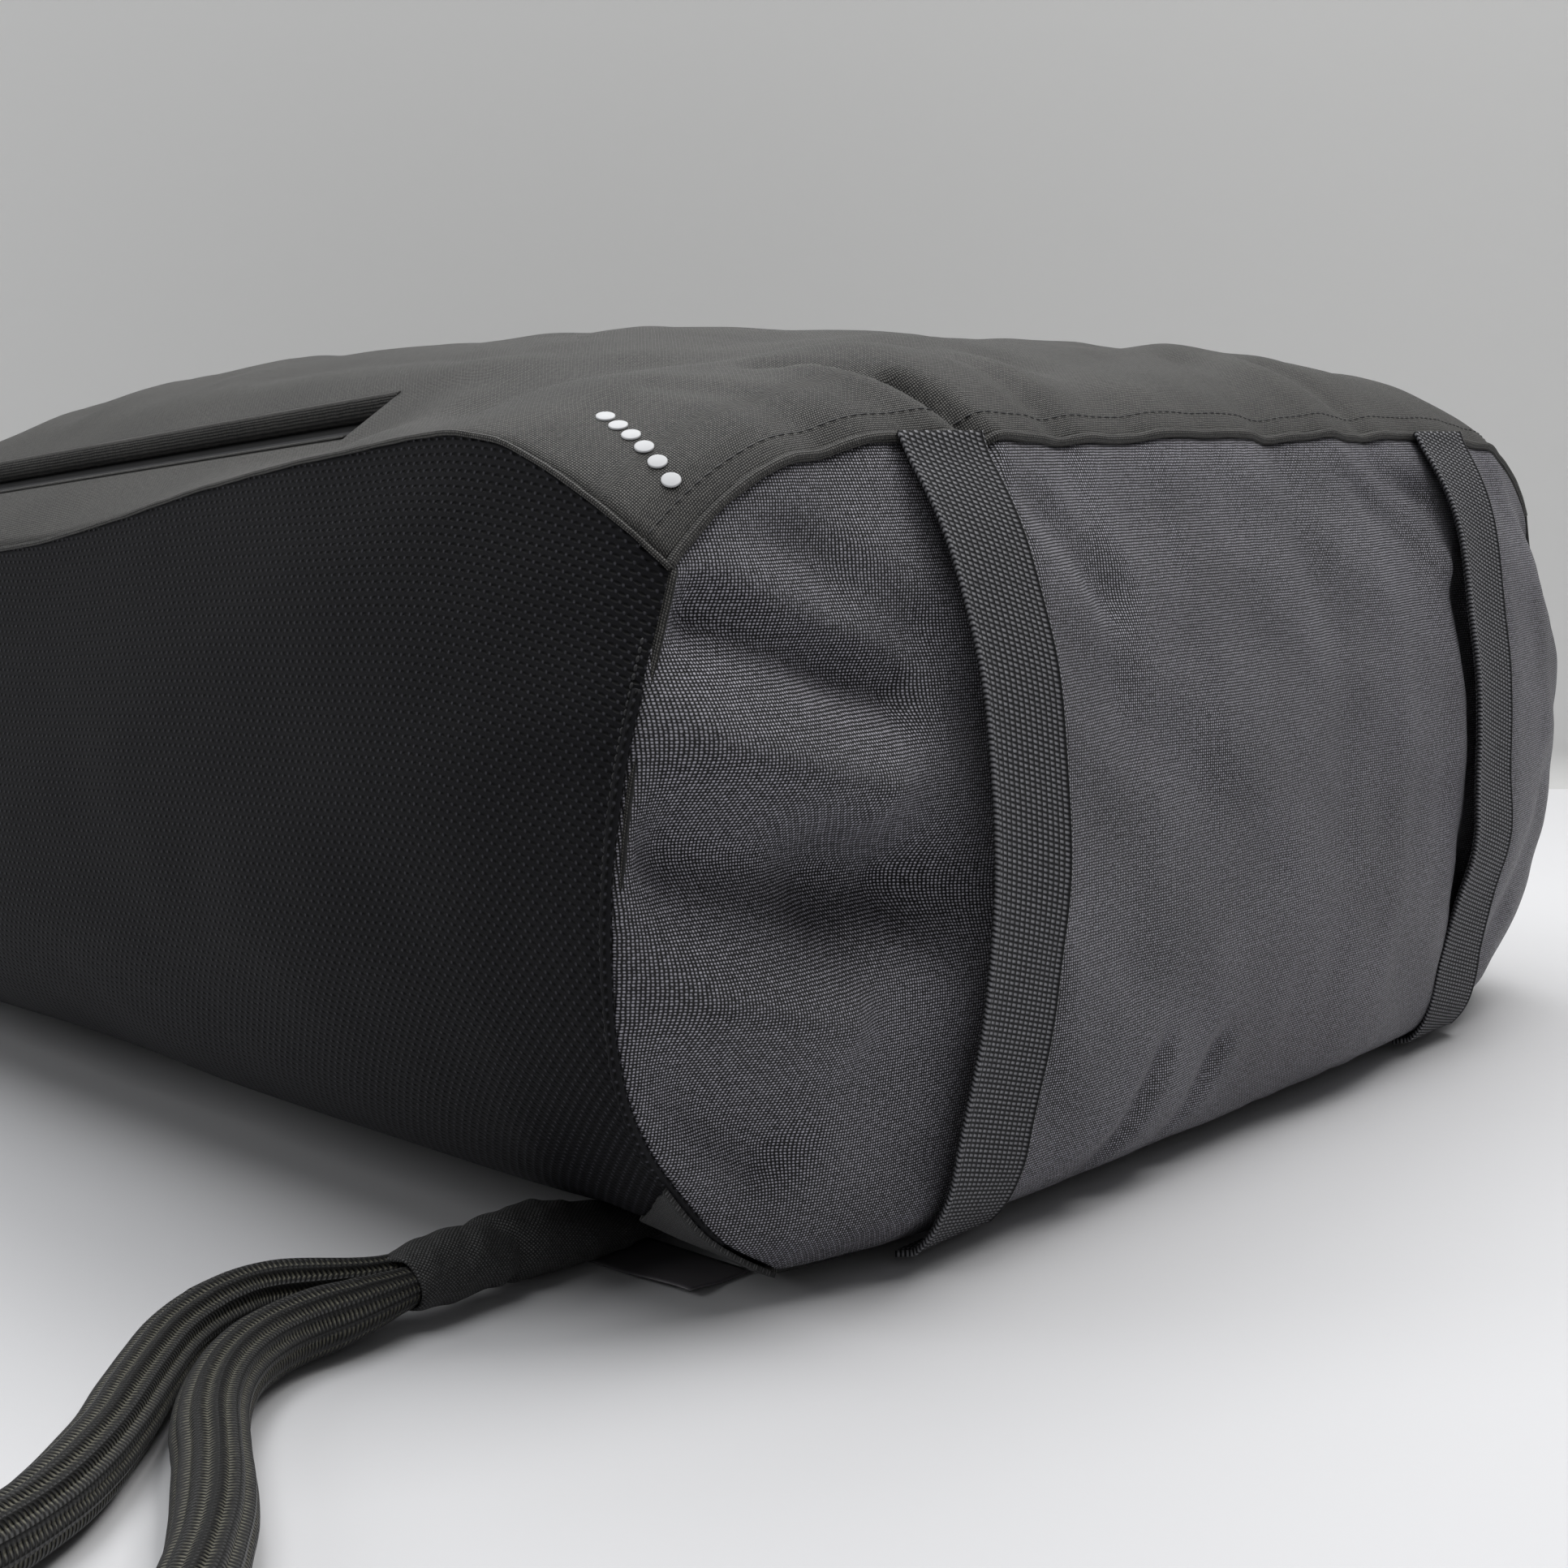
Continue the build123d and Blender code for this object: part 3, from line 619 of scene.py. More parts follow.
# ---- drawcord: two free strands on the frame's own lines ----
hem_depth = 29.5
exit_y = mouth_y + hem_depth / 2
upper_route = [
    (-188, -172.5, 8.0), (-202, -167, 7.6), (-215, -165, 7.0), (-230, -168, 6.3), (-246, -181, 5.6),
    (-262, -196, 5.6), (-280, -208, 5.6), (-300, -213, 5.6), (-321, -206, 5.6), (-336, -186, 5.6),
    (-341, -156, 5.6), (-332, -116, 5.6), (-310, -70, 5.6), (-284, -14, 5.6), (-263, 52, 5.6),
    (-238, 108, 5.6), (-222, 160, 6.4), (-206, 196, 14.0), (-186, 218, 36.0), (-161, 232, 60.0),
    (-134, exit_y, 71.5), (-104, exit_y, 71.5),
]
lower_route = [
    (-188, -186.5, 7.4), (-204, -181.5, 6.6), (-219, -179.5, 5.6), (-233, -186, 5.6), (-246, -199.5, 5.6),
    (-256, -216, 5.6), (-268, -233, 5.6), (-286, -251, 5.6), (-314, -262, 5.6), (-342, -253, 5.6),
    (-362, -230, 5.6), (-370, -196, 5.6), (-362, -148, 5.6), (-344, -88, 5.6), (-312, -30, 5.6),
    (-290, 34, 5.6), (-272, 96, 5.6), (-250, 152, 5.6), (-226, 202, 5.6), (-194, 230, 6.3),
    (-158, exit_y, 8.5), (-120, exit_y, 8.5),
]
channel_route = [
    (-104, exit_y, 71.5), (-40, exit_y, 71.5), (40, exit_y, 71.5), (74, exit_y, 70.0), (96, exit_y, 57.0),
    (108, exit_y, 42.0), (107, exit_y, 22.0), (92, exit_y, 9.5), (60, exit_y, 8.5), (-40, exit_y, 8.5),
    (-120, exit_y, 8.5),
]


def nurbs_points(name, route, resolution=10):
    """Points read from a NURBS curve whose control points are the route's, in millimetres."""
    curve = bpy.data.curves.new(name + "_line", "CURVE")
    curve.dimensions = "3D"
    curve.resolution_u = resolution
    spline = curve.splines.new("NURBS")
    spline.points.add(len(route) - 1)
    for point, (x, y, z) in zip(spline.points, route):
        point.co = (x * MM, y * MM, z * MM, 1.0)
    spline.order_u = 3
    spline.use_endpoint_u = True
    holder = bpy.data.objects.new(name + "_line", curve)
    scene.collection.objects.link(holder)
    bpy.context.view_layer.update()
    mesh = bpy.data.meshes.new_from_object(holder.evaluated_get(bpy.context.evaluated_depsgraph_get()))
    points = np.array([v.co[:] for v in mesh.vertices]) / MM
    bpy.data.objects.remove(holder)
    bpy.data.meshes.remove(mesh)
    return points


def strand(name, route):
    """A free strand; where it leaves the sleeve it is pinched thin and pressed against the other one."""
    line = even(nurbs_points(name, route), 1.25)
    run = run_along(line)
    closer = 0.62 * (1 - ease(2, 30, run))
    centre = line.copy()
    centre[:, 1] += closer * (sleeve_y - line[:, 1])
    drift = np.stack([run, 0 * run, 0 * run], axis=1)
    radius = 5.6 - 2.2 * (1 - ease(4, 24, run)) + 0.12 * noise_b(drift, (9, 5, 5))
    flat = 1 + 0.05 * noise_a(drift + 5, (34, 5, 5))
    squash = np.stack([flat, 2 - flat], axis=1)
    squash[:, 1] *= np.where(line[:, 2] < 6.6, 0.965, 1.0)
    made = tube(name, centre, radius, cord_braid, around=72, ribs=12, rib_depth=0.13, squash=squash,
                spin=0.004)
    low = min(v.co.z for v in made.data.vertices)
    for v in made.data.vertices:
        v.co.z += max(0.0, 0.0001 - low)
    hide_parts("drawcord_" + name.split("_", 1)[1])
    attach(made, "bag")


strand("cord_strand_upper", upper_route)
strand("cord_strand_lower", lower_route)
# The tight turn inside the sleeve.
bight_angle = np.linspace(-pi / 2, pi / 2, 24)
bight_x = -188 + 9 * np.cos(bight_angle)
bight_y = sleeve_y + 2.7 * np.sin(bight_angle)
bight_line = np.stack([bight_x, bight_y, 7.6 + 0 * bight_angle], axis=1)
bight = tube("cord_bight", bight_line, 3.1, cord_braid, around=48, ribs=12, rib_depth=0.1)
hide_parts("drawcord_bight")
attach(bight, "bag")
channel = even(nurbs_points("channel", channel_route), 2.0)
in_hem = tube("cord_in_hem", channel, 5.5, cord_braid, around=48, ribs=12, rib_depth=0.1)
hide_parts("drawcord_in_hem")
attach(in_hem, "bag")


def soft_piece(made, stands_for):
    """Puts a made piece in the place of the frame's piece."""
    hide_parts(stands_for)
    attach(made, "bag")


# ---- front, back and side panels ----
front_rest, near_zip = front_surface()
edge = np.abs(front_rest[..., 0]) / seam_x(rows_y)[:, None]
seam_gap = rows_y[:, None] - seam_y + 0 * edge
ruffle = noise_d(front_rest, (9, 60, 400)) * np.exp(-seam_gap / 16) * 1.3
ruffle += noise_c(front_rest + 70, (17, 55, 300)) * np.exp(-((seam_gap - 22) / 26) ** 2) * 1.8
# Creases of the front panel seen from above: start, end, depth and width. A negative depth is a ridge.
front_creases = [
    ((-86, -227), (-94, -211), 5.0, 2.6),
    ((-92, -215), (-112, -192), 2.2, 4.5),
    ((-96, -225), (-112, -204), -1.8, 5.0),
    ((-60, -226), (-66, -190), 1.6, 5.0),
    ((-40, -196), (-150, -150), 1.8, 9.0),
    ((20, -226), (34, -192), 1.3, 6.0),
    ((-130, -222), (-138, -190), 1.4, 5.0),
    ((64, -226), (58, -200), 1.4, 5.0),
]
folds = creases(front_rest, [0, 1], front_creases)
slanted = front_rest @ np.array([[0.94, -0.34, 0], [0.34, 0.94, 0], [0, 0, 1.0]])
long_folds = noise_b(slanted + 15, (40, 13, 300)) * 1.5 + noise_a(slanted + 33, (90, 30, 300)) * 1.7
pinch = -1.3 * np.exp(-seam_gap / 3.0)
calm = (1 - near_zip) * (1 - 0.7 * ease(0.9, 1.0, edge))
hem_calm = 1 - ease(200, 222, rows_y)[:, None]
front_amount = relief(front_rest) + ruffle + long_folds * ease(6, 40, seam_gap) - folds
front_amount = front_amount * calm * hem_calm + pinch
front_pts = shaped(front_rest, front_amount)
keep = np.ones((front_rest.shape[0] - 1, front_rest.shape[1] - 1), bool)
slot_rows = (rows_y[:-1] >= slot_low - 0.01) & (rows_y[1:] <= slot_high + 0.01)
keep[np.ix_(slot_rows, range(slot_left, slot_right))] = False
front = cloth("front_panel_cloth", front_pts, front_cloth, 1.0, keep=keep)
soft_piece(front, "front_panel")

back_rest = back_surface()
back = cloth("back_panel_cloth", back_rest, front_cloth, 1.0, flip=True)
soft_piece(back, "back_panel")


def side_points(side, rows):
    """The mesh pocket's surface with its folds, and each point's distance from the bottom seam."""
    rest = side_surface(side, 0.0, y=rows)
    gap = rows[:, None] - seam_y + 0 * rest[..., 0]
    share = np.linspace(0, 1, rest.shape[1])[None, :] + 0 * gap
    middle = ease(0.02, 0.12, share) * (1 - ease(0.94, 1.0, share))
    pull = noise_a(rest + 21, (300, 60, 38)) * 2.6 + noise_b(rest + 3, (300, 34, 16)) * 0.9
    drape = pull * ease(14, 60, gap) + noise_d(rest, (300, 70, 12)) * 1.2 * np.exp(-gap / 30)
    amount = (relief(rest) * 0.8 + drape) * middle * (1 - ease(200, 222, rows))[:, None]
    amount = amount - 1.2 * np.exp(-gap / 4.0)
    return shaped(rest, amount), gap


pocket_rows = np.append(rows_y[rows_y <= slot_high + 0.01], 98.0)
for side, word in ((-1, "left"), (1, "right")):
    flip = side < 0
    wall_shrink = (2.6 + 4.6 * ease(-228, -214, rows_y)) * (1 - ease(104, 150, rows_y))
    wall_rest = side_surface(side, wall_shrink)
    panel = cloth(f"side_panel_{word}_cloth", wall_rest, front_cloth, 0.8, flip=not flip)
    soft_piece(panel, f"side_panel_{word}")
    pocket, gap = side_points(side, pocket_rows)
    rib = 0.28 * np.cos(2 * pi * pocket[..., 2] / 1.9) * np.exp(-gap / 7.0) * ease(0, 2, gap)
    pocket = shaped(pocket, rib)
    piece = cloth(f"mesh_pocket_{word}_knit", pocket, mesh_knit, 0.7, flip=not flip)
    soft_piece(piece, f"mesh_pocket_{word}")
    if side < 0:
        left_pocket, left_wall = pocket, wall_rest
    else:
        right_pocket, right_wall = pocket, wall_rest
    # Elastic binding folded over the pocket's mouth.
    hem_rows = np.linspace(96.5, 108.0, 9)
    band = side_surface(side, 0.0, y=hem_rows, columns=140)
    bulge = 0.9 * np.sin(np.linspace(0, pi, 9))[:, None] + 0.35 * np.cos(2 * pi * band[..., 2] / 4.2)
    band = shaped(band, bulge + 0.3)
    lid = cloth(f"pocket_hem_{word}_elastic", band[:, 6:-4], tape_cloth, 1.6, flip=not flip)
    soft_piece(lid, f"pocket_hem_elastic_{word}")

# ---- bottom panel ----
top_edge = front_pts[0]
bottom_edge = back_rest[0]
left_edge = left_pocket[0]
right_edge = right_pocket[0]
wide_count, tall_count = 250, 110
low = resample(bottom_edge, wide_count)
high = resample(top_edge, wide_count)
left = resample(left_edge, tall_count)
right = resample(right_edge, tall_count)
high[0], high[-1], low[0], low[-1] = left[-1], right[-1], left[0], right[0]
s = np.linspace(0, 1, wide_count)[None, :, None]
t = np.linspace(0, 1, tall_count)[:, None, None]
base_rest = ((1 - t) * low[None] + t * high[None] + (1 - s) * left[:, None] + s * right[:, None]
             - (1 - s) * (1 - t) * low[0] - s * (1 - t) * low[-1] - (1 - s) * t * high[0] - s * t * high[-1])
s, t = s[..., 0], t[..., 0]
across = 1 - np.abs(2 * s - 1) ** np.where(s > 0.5, 5.6, 3.9)
upper = 1 - np.abs(2 * t - 1) ** 2.1
rise = np.where(t > 0.5, upper, np.clip(1 - np.abs(2 * t - 1) ** 2.0, 0, 1) ** 0.5)
crown = 20.5 * across * rise
x, z = base_rest[..., 0], base_rest[..., 2]
plane = np.stack([x, 0 * x, z], axis=-1)
# Hollows and swellings of the base seen from its foot: start, end, depth and width.
base_hollows = [
    ((-172, 86), (-124, 76), 7.5, 10.0),
    ((-136, 76), (-114, 72), 4.0, 11.0),
    ((-176, 130), (-126, 108), 5.0, 6.0),
    ((-150, 142), (-120, 120), 2.2, 6.0),
    ((-178, 50), (-150, 32), 3.6, 7.0),
    ((-84, 148), (-60, 122), 2.4, 6.0),
    ((36, 152), (74, 128), 1.8, 6.0),
    ((58, 150), (82, 138), 2.2, 4.0),
    ((-60, 8), (-48, 30), 1.8, 4.0),
    ((-36, 6), (-22, 26), 1.6, 4.0),
    ((118, 20), (150, 60), 2.0, 8.0),
    ((-20, 60), (30, 80), 1.4, 16.0),
    ((97, 26), (96, 112), 4.2, 11.0),  # pressed in by the right strap
]
base_swellings = [
    ((-180, 110), (-134, 93), 3.4, 7.5),
    ((-180, 64), (-142, 54), 4.0, 8.0),
    ((44, 152), (84, 122), 1.6, 4.5),
]
dents = creases(plane, [0, 2], base_hollows)
swell = creases(plane, [0, 2], base_swellings)
rim = np.minimum(np.minimum(s, 1 - s) * 360, np.minimum(t, 1 - t) * 150)
inner = ease(0, 16, rim)
leaning = plane @ np.array([[0.8, 0, 0.6], [0, 1, 0], [-0.6, 0, 0.8]])
lumps = 1.6 * noise_a(plane + 8, (46, 50, 34)) + 1.1 * noise_b(leaning + 60, (52, 50, 13))
lumps = lumps + 0.22 * noise_c(plane, (8, 9, 7))
near_side = np.minimum(s, 1 - s) * 360
near_end = np.minimum(t, 1 - t) * 150
pucker = 0.8 * noise_d(plane + 5, (7, 9, 60)) * np.exp(-near_end / 9) * ease(0, 3, rim)
pucker += 1.0 * noise_d(plane + 25, (50, 9, 9)) * np.exp(-near_side / 15) * ease(0, 4, rim)
base_pts = base_rest.copy()
base_pts[..., 1] -= crown + (lumps - 1.35 * dents + 1.3 * swell) * inner + pucker
base_pts[..., 1] += 1.0 * np.exp(-rim / 2.0)
base_uv = np.stack([x, z], axis=-1) * MM
base = cloth("bottom_panel_cloth", base_pts, base_cloth, 1.0, uv=base_uv)
soft_piece(base, "bottom_panel")

tree_of_base = KDTree(base_pts.shape[0] * base_pts.shape[1])
flat_base = base_pts.reshape(-1, 3)
for index, point in enumerate(flat_base):
    tree_of_base.insert((point[0], 0.0, point[2]), index)
tree_of_base.balance()


def base_y(x, z):
    """Where the bottom panel's outer face is at x, z."""
    found = tree_of_base.find_n((x, 0.0, z), 4)
    weights = np.array([1 / (d + 0.05) for _, _, d in found])
    return float(np.sum(weights * [flat_base[i][1] for _, i, _ in found]) / np.sum(weights))


# ---- elastic straps over the bottom panel ----
strap_profile = smooth([1.5, 3, 14, 25, 50, 74, 106, 133, 146, 153.5],
                       [-222, -230, -235.5, -239, -244.5, -246.3, -243.5, -236, -229, -223.5])
for side, word, strap_x in ((-1, "left", -101.0), (1, "right", 98.5)):
    cross = np.linspace(-strap_half, strap_half, 121)
    climb = np.linspace(1.6, 153.8, 300)
    heights = even(np.stack([climb, strap_profile(climb)], axis=1), 1.1)
    grid = np.zeros((len(heights), len(cross), 3))
    level = heights[:, 0]
    wave = noise_b(np.stack([level, 0 * level, 0 * level + 40 * side], axis=1), (26, 5, 5))
    for i, (height, y) in enumerate(heights):
        middle = strap_x + 0.8 * wave[i]
        if side > 0:
            y += 7.5 * np.sin(pi * np.clip(height / 153, 0, 1)) ** 1.5
        under = min(base_y(middle + c, height) for c in (-6, 0, 6, 11))
        y = min(y, under - 0.9)
        grid[i, :, 0] = middle + cross
        grid[i, :, 1] = y
        grid[i, :, 2] = height
    y_line = grid[:, 0, 1].copy()
    padded_line = np.concatenate([np.full(6, y_line[0]), y_line, np.full(6, y_line[-1])])
    y_line = np.convolve(padded_line, np.ones(13) / 13, "valid")
    fold = run_along(np.stack([y_line, level], axis=1))
    rib = 0.22 * np.abs(np.sin(pi * (cross + strap_half) / 1.65)) ** 0.8
    selvedge = 0.35 * np.exp(-((np.abs(cross) - 11.9) / 0.7) ** 2)
    share = np.linspace(0, 1, len(heights))[:, None]
    if side < 0:
        lift = 1.6 * np.exp(-(cross + strap_half) / 4.0) * np.sin(pi * share) ** 0.5
    else:
        lift = 3.6 * np.exp(-(cross + strap_half) / 10.0) * np.sin(pi * share ** 1.5) ** 0.8
    curl = 0.5 * noise_c(grid + 17, (12, 50, 18))
    grid[..., 1] = y_line[:, None] - rib - selvedge - lift - curl * 0.6
    strap_uv = np.stack(np.broadcast_arrays(cross[None, :], fold[:, None]), axis=-1) * MM
    strap = cloth(f"elastic_strap_{word}_webbing", grid, strap_elastic, 1.25, uv=strap_uv)
    soft_piece(strap, f"elastic_strap_{word}")

# ---- woven gussets over the lower corners ----
gusset_top = smooth([-228, -215, -195, -166], [27, 18, 9, 3.0])
for side, word in ((-1, "left"), (1, "right")):
    gusset_rows = np.linspace(-228, -168, 40)
    surface = side_surface(side, -0.9, y=gusset_rows, columns=200)
    strip = np.zeros((40, 34, 3))
    for i, y in enumerate(gusset_rows):
        stop = max(4, int(np.searchsorted(surface[i, :, 2], gusset_top(y))))
        strip[i] = resample(surface[i, : stop + 1], 34)
    strip = shaped(strip, 0.5 * noise_c(strip + 3, (9, 9, 9)) + 0.3)
    strip[..., 2] = np.maximum(strip[..., 2], 0.3)
    gusset = cloth(f"corner_gusset_{word}_cloth", strip, sleeve_cloth, 0.9, flip=side > 0)
    soft_piece(gusset, f"corner_gusset_{word}")

# ---- sleeve that holds the drawcord, and its twin on the right ----
for side, word in ((-1, "left"), (1, "right")):
    spine = np.array([(-131, -178.5, 3.4), (-146, -178.6, 5.2), (-165, -179.0, 7.4),
                      (-182, sleeve_y, 7.9), (-193, sleeve_y, 7.6)])
    spine = even(through(spine, 60), 0.9)
    share = np.linspace(0, 1, len(spine))
    wide_r = smooth([0, 0.25, 0.5, 0.8, 1.0], [7.6, 8.0, 7.8, 7.3, 6.9])(share)
    tall_r = smooth([0, 0.25, 0.5, 0.8, 1.0], [2.4, 4.8, 6.6, 6.2, 4.7])(share)
    angle = np.linspace(0, 2 * pi, 49)[:-1]
    ring = np.zeros((len(spine), 48, 3))
    ring[..., 0] = spine[:, :1]
    ring[..., 1] = spine[:, 1:2] + wide_r[:, None] * np.cos(angle)
    ring[..., 2] = spine[:, 2:3] + tall_r[:, None] * np.sin(angle)
    bent = ring @ np.array([[0.8, 0.6, 0], [-0.6, 0.8, 0], [0, 0, 1.0]])
    crease = 0.55 * noise_c(bent, (3.2, 9, 6)) + 0.35 * noise_b(bent + 50, (2.2, 7, 6))
    crease -= 1.1 * np.exp(-((ring[..., 0] + 174 + 0.5 * (ring[..., 1] + 179)) / 2.0) ** 2)
    direction = unit((ring - spine[:, None]) * np.array([0, 1, 1]))
    ring = ring + direction * crease[..., None]
    inner_rings = []
    for back_off, inset in ((0.3, 0.5), (-1.6, 0.8), (-5.0, 0.9)):
        inner_rings.append(ring[-1] - direction[-1] * inset + np.array([-back_off, 0, 0]))
    ring = np.concatenate([ring, np.array(inner_rings)], axis=0)
    ring[..., 2] = np.maximum(ring[..., 2], 0.5)
    ring[..., 0] *= -side
    run = run_along(ring.mean(axis=1))
    uvs = [(0.042 * j / 48, run[i] * MM) for i in range(len(ring)) for j in range(48)]
    faces = grid_faces(len(ring), 48, closed=True, flip=side > 0)
    sleeve = new_object(f"cord_sleeve_{word}", ring.reshape(-1, 3), faces, uvs, sleeve_cloth)
    soft_piece(sleeve, f"cord_anchor_loop_{word}")

# ---- care label ----
label_x, label_y = -142.0, -192.0
label_s, label_t = np.meshgrid(np.linspace(-8, 8, 17), np.linspace(-16, 16, 33))
label_z = 0.6 + 0.9 * ease(-2, 8, -label_s) * ease(-4, 14, -label_t)
label_pts = np.stack([label_x + label_s, label_y + label_t, label_z], axis=-1)
label = cloth("care_label_ribbon", label_pts, label_satin, 0.3)
soft_piece(label, "care_label")

# ---- rolled seam edges ----
def roll(name, line, radius, material):
    """A thin, slightly uneven roll of cloth along a seam."""
    line = even(line, 1.2)
    centre = line + np.array([0, 0, 0.125]) * noise_c(line, (6, 6, 6))[:, None]
    uneven = radius * (1 + 0.12 * noise_b(line + 9, (5, 5, 5)))
    made = tube(name, centre, uneven, material, around=14)
    for item in made.data.uv_layers["cloth"].data:
        item.uv[0] *= 2 * pi * radius * MM
    return made


front_lip = roll("front_panel_rolled_edge", front_pts[0] + np.array([0, 0.5, 0.3]), 1.0, front_cloth)
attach(front_lip, "bag")
for side, pocket, word in ((-1, left_pocket, "left"), (1, right_pocket, "right")):
    rim_line = pocket[0] + np.array([side * 0.2, 0.4, 0])
    side_lip = roll(f"mesh_pocket_{word}_rolled_edge", rim_line[12:-9], 1.0, mesh_knit)
    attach(side_lip, "bag")
    top_line = pocket[:, -1] + np.array([side * -0.1, 0, 0.0])
    top_lip = roll(f"front_seam_{word}_fold", top_line, 0.55, front_cloth)
    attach(top_lip, "bag")

# ---- stitches ----
def stitch_tool():
    """Geometry node group: one short thread on every point, turned along the seam."""
    group = bpy.data.node_groups.new("stitches", "GeometryNodeTree")
    face = group.interface
    face.new_socket("Geometry", in_out="INPUT", socket_type="NodeSocketGeometry")
    face.new_socket("Stitch length", in_out="INPUT", socket_type="NodeSocketFloat")
    face.new_socket("Thread radius", in_out="INPUT", socket_type="NodeSocketFloat")
    face.new_socket("Thread", in_out="INPUT", socket_type="NodeSocketMaterial")
    face.new_socket("Geometry", in_out="OUTPUT", socket_type="NodeSocketGeometry")
    start = group.nodes.new("NodeGroupInput")
    end = group.nodes.new("NodeGroupOutput")
    ball = group.nodes.new("GeometryNodeMeshUVSphere")
    ball.inputs["Segments"].default_value = 8
    ball.inputs["Rings"].default_value = 5
    ball.inputs["Radius"].default_value = 1.0
    size = group.nodes.new("ShaderNodeCombineXYZ")
    shape = group.nodes.new("GeometryNodeTransform")
    along = group.nodes.new("GeometryNodeInputNamedAttribute")
    along.data_type = "FLOAT_VECTOR"
    along.inputs["Name"].default_value = "along"
    facing = group.nodes.new("FunctionNodeAlignRotationToVector")
    facing.axis = "X"
    place = group.nodes.new("GeometryNodeInstanceOnPoints")
    real = group.nodes.new("GeometryNodeRealizeInstances")
    paint = group.nodes.new("GeometryNodeSetMaterial")
    link = group.links.new
    link(start.outputs["Stitch length"], size.inputs[0])
    link(start.outputs["Thread radius"], size.inputs[1])
    link(start.outputs["Thread radius"], size.inputs[2])
    link(ball.outputs["Mesh"], shape.inputs["Geometry"])
    link(size.outputs[0], shape.inputs["Scale"])
    link(along.outputs["Attribute"], facing.inputs["Vector"])
    link(start.outputs["Geometry"], place.inputs["Points"])
    link(shape.outputs["Geometry"], place.inputs["Instance"])
    link(facing.outputs["Rotation"], place.inputs["Rotation"])
    link(place.outputs["Instances"], real.inputs["Geometry"])
    link(real.outputs["Geometry"], paint.inputs["Geometry"])
    link(start.outputs["Thread"], paint.inputs["Material"])
    link(paint.outputs["Geometry"], end.inputs["Geometry"])
    return group


stitches = stitch_tool()


def stitch_row(name, line, every, length, radius):
    """A row of thread stitches along a line."""
    points = even(line, every)
    along = unit(np.gradient(points, axis=0))
    mesh = bpy.data.meshes.new(name)
    mesh.from_pydata([tuple(p) for p in points * MM], [], [])
    data = mesh.attributes.new("along", "FLOAT_VECTOR", "POINT")
    data.data.foreach_set("vector", along.ravel())
    holder = bpy.data.objects.new(name + "_points", mesh)
    scene.collection.objects.link(holder)
    modifier = holder.modifiers.new("stitches", "NODES")
    modifier.node_group = stitches
    inputs = {i.name: i.identifier for i in stitches.interface.items_tree if i.in_out == "INPUT"}
    modifier[inputs["Stitch length"]] = length * MM / 2
    modifier[inputs["Thread radius"]] = radius * MM
    modifier[inputs["Thread"]] = thread
    bpy.context.view_layer.update()
    baked = bpy.data.meshes.new_from_object(holder.evaluated_get(bpy.context.evaluated_depsgraph_get()))
    bpy.data.objects.remove(holder)
    baked.polygons.foreach_set("use_smooth", [True] * len(baked.polygons))
    made = bpy.data.objects.new(name, baked)
    scene.collection.objects.link(made)
    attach(made, "bag")


above = int(np.searchsorted(rows_y, -223.5))
stitch_row("front_seam_topstitch", front_pts[above] + np.array([0, 0, 0.02]), 2.6, 2.0, 0.2)
for pocket, word in ((left_pocket, "left"), (right_pocket, "right")):
    chain = pocket[1, 14:78]
    stitch_row(f"side_seam_overlock_{word}", chain, 1.5, 1.3, 0.34)

# ---- zip ----
zip_looks = {
    "zip_tape_left": zip_cloth, "zip_tape_right": zip_cloth,
    "zip_coil_left": zip_nylon, "zip_coil_right": zip_nylon,
    "zip_slider": zip_enamel, "zip_puller": zip_enamel, "zip_end_stops": zip_enamel,
}
for name, material in zip_looks.items():
    node = nodes[name]
    node.data.materials.clear()
    node.data.materials.append(material)

# Directions across the zip and out of the panel at the zip.
zip_across = np.array([0.850169, 0.052224, 0.523913])
zip_up = np.array([-0.526509, 0.084328, 0.845977])
start_row = int(np.argmin(np.abs(rows_y - slot_low)))
stop_row = int(np.argmin(np.abs(rows_y - slot_high)))
for edge_column, inward_sign, word in ((slot_left, 1, "left"), (slot_right, -1, "right")):
    rim_points = front_pts[start_row:stop_row + 1, edge_column]
    steps_in = [(-1.2, 0.25), (-0.5, 0.45), (0.1, 0.2), (0.6, -0.9), (0.9, -2.4), (1.0, -4.3)]
    welt = np.stack([rim_points + zip_across * inward_sign * a + zip_up * b for a, b in steps_in], axis=1)
    welt_uv = np.stack([np.broadcast_to(np.arange(6) * 1.1 * MM, welt.shape[:2]), welt[..., 1] * MM], axis=-1)
    turned_in = cloth(f"zip_welt_{word}", welt, front_cloth, 0.5, flip=inward_sign < 0, uv=welt_uv)
    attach(turned_in, "bag")

# ---- gathered hem round the mouth ----
loop = np.concatenate([front_pts[-1], right_wall[-1][::-1], back_rest[-1][::-1], left_wall[-1]])
loop = np.concatenate([loop, loop[:1]])
loop = even(loop, 2.2)[:-1]
count = len(loop)
centre = np.array([0, mouth_y, 38.0])
inward = unit((centre - loop) * np.array([1, 0, 1]) * np.array([0.45, 0, 1.0]))
tone = np.cumsum(1 + 0.35 * noise_a(np.stack([loop[:, 0], loop[:, 2], 0 * loop[:, 0]], axis=1), (30, 30, 9)))
phase = 2 * pi * 58 * tone / tone[-1]
hem_rings = 29
turns = np.linspace(0, 1, hem_rings)
depth = smooth([0, 0.2, 0.42, 0.5, 0.58, 0.8, 1.0], [0.0, 0.4, 4.0, 8.3, 12.6, 16.2, 16.6])(turns)
reach = smooth([0, 0.2, 0.42, 0.5, 0.58, 0.8, 1.0], [221.0, 238.0, 249.6, 251.2, 249.6, 238.0, 223.0])(turns)
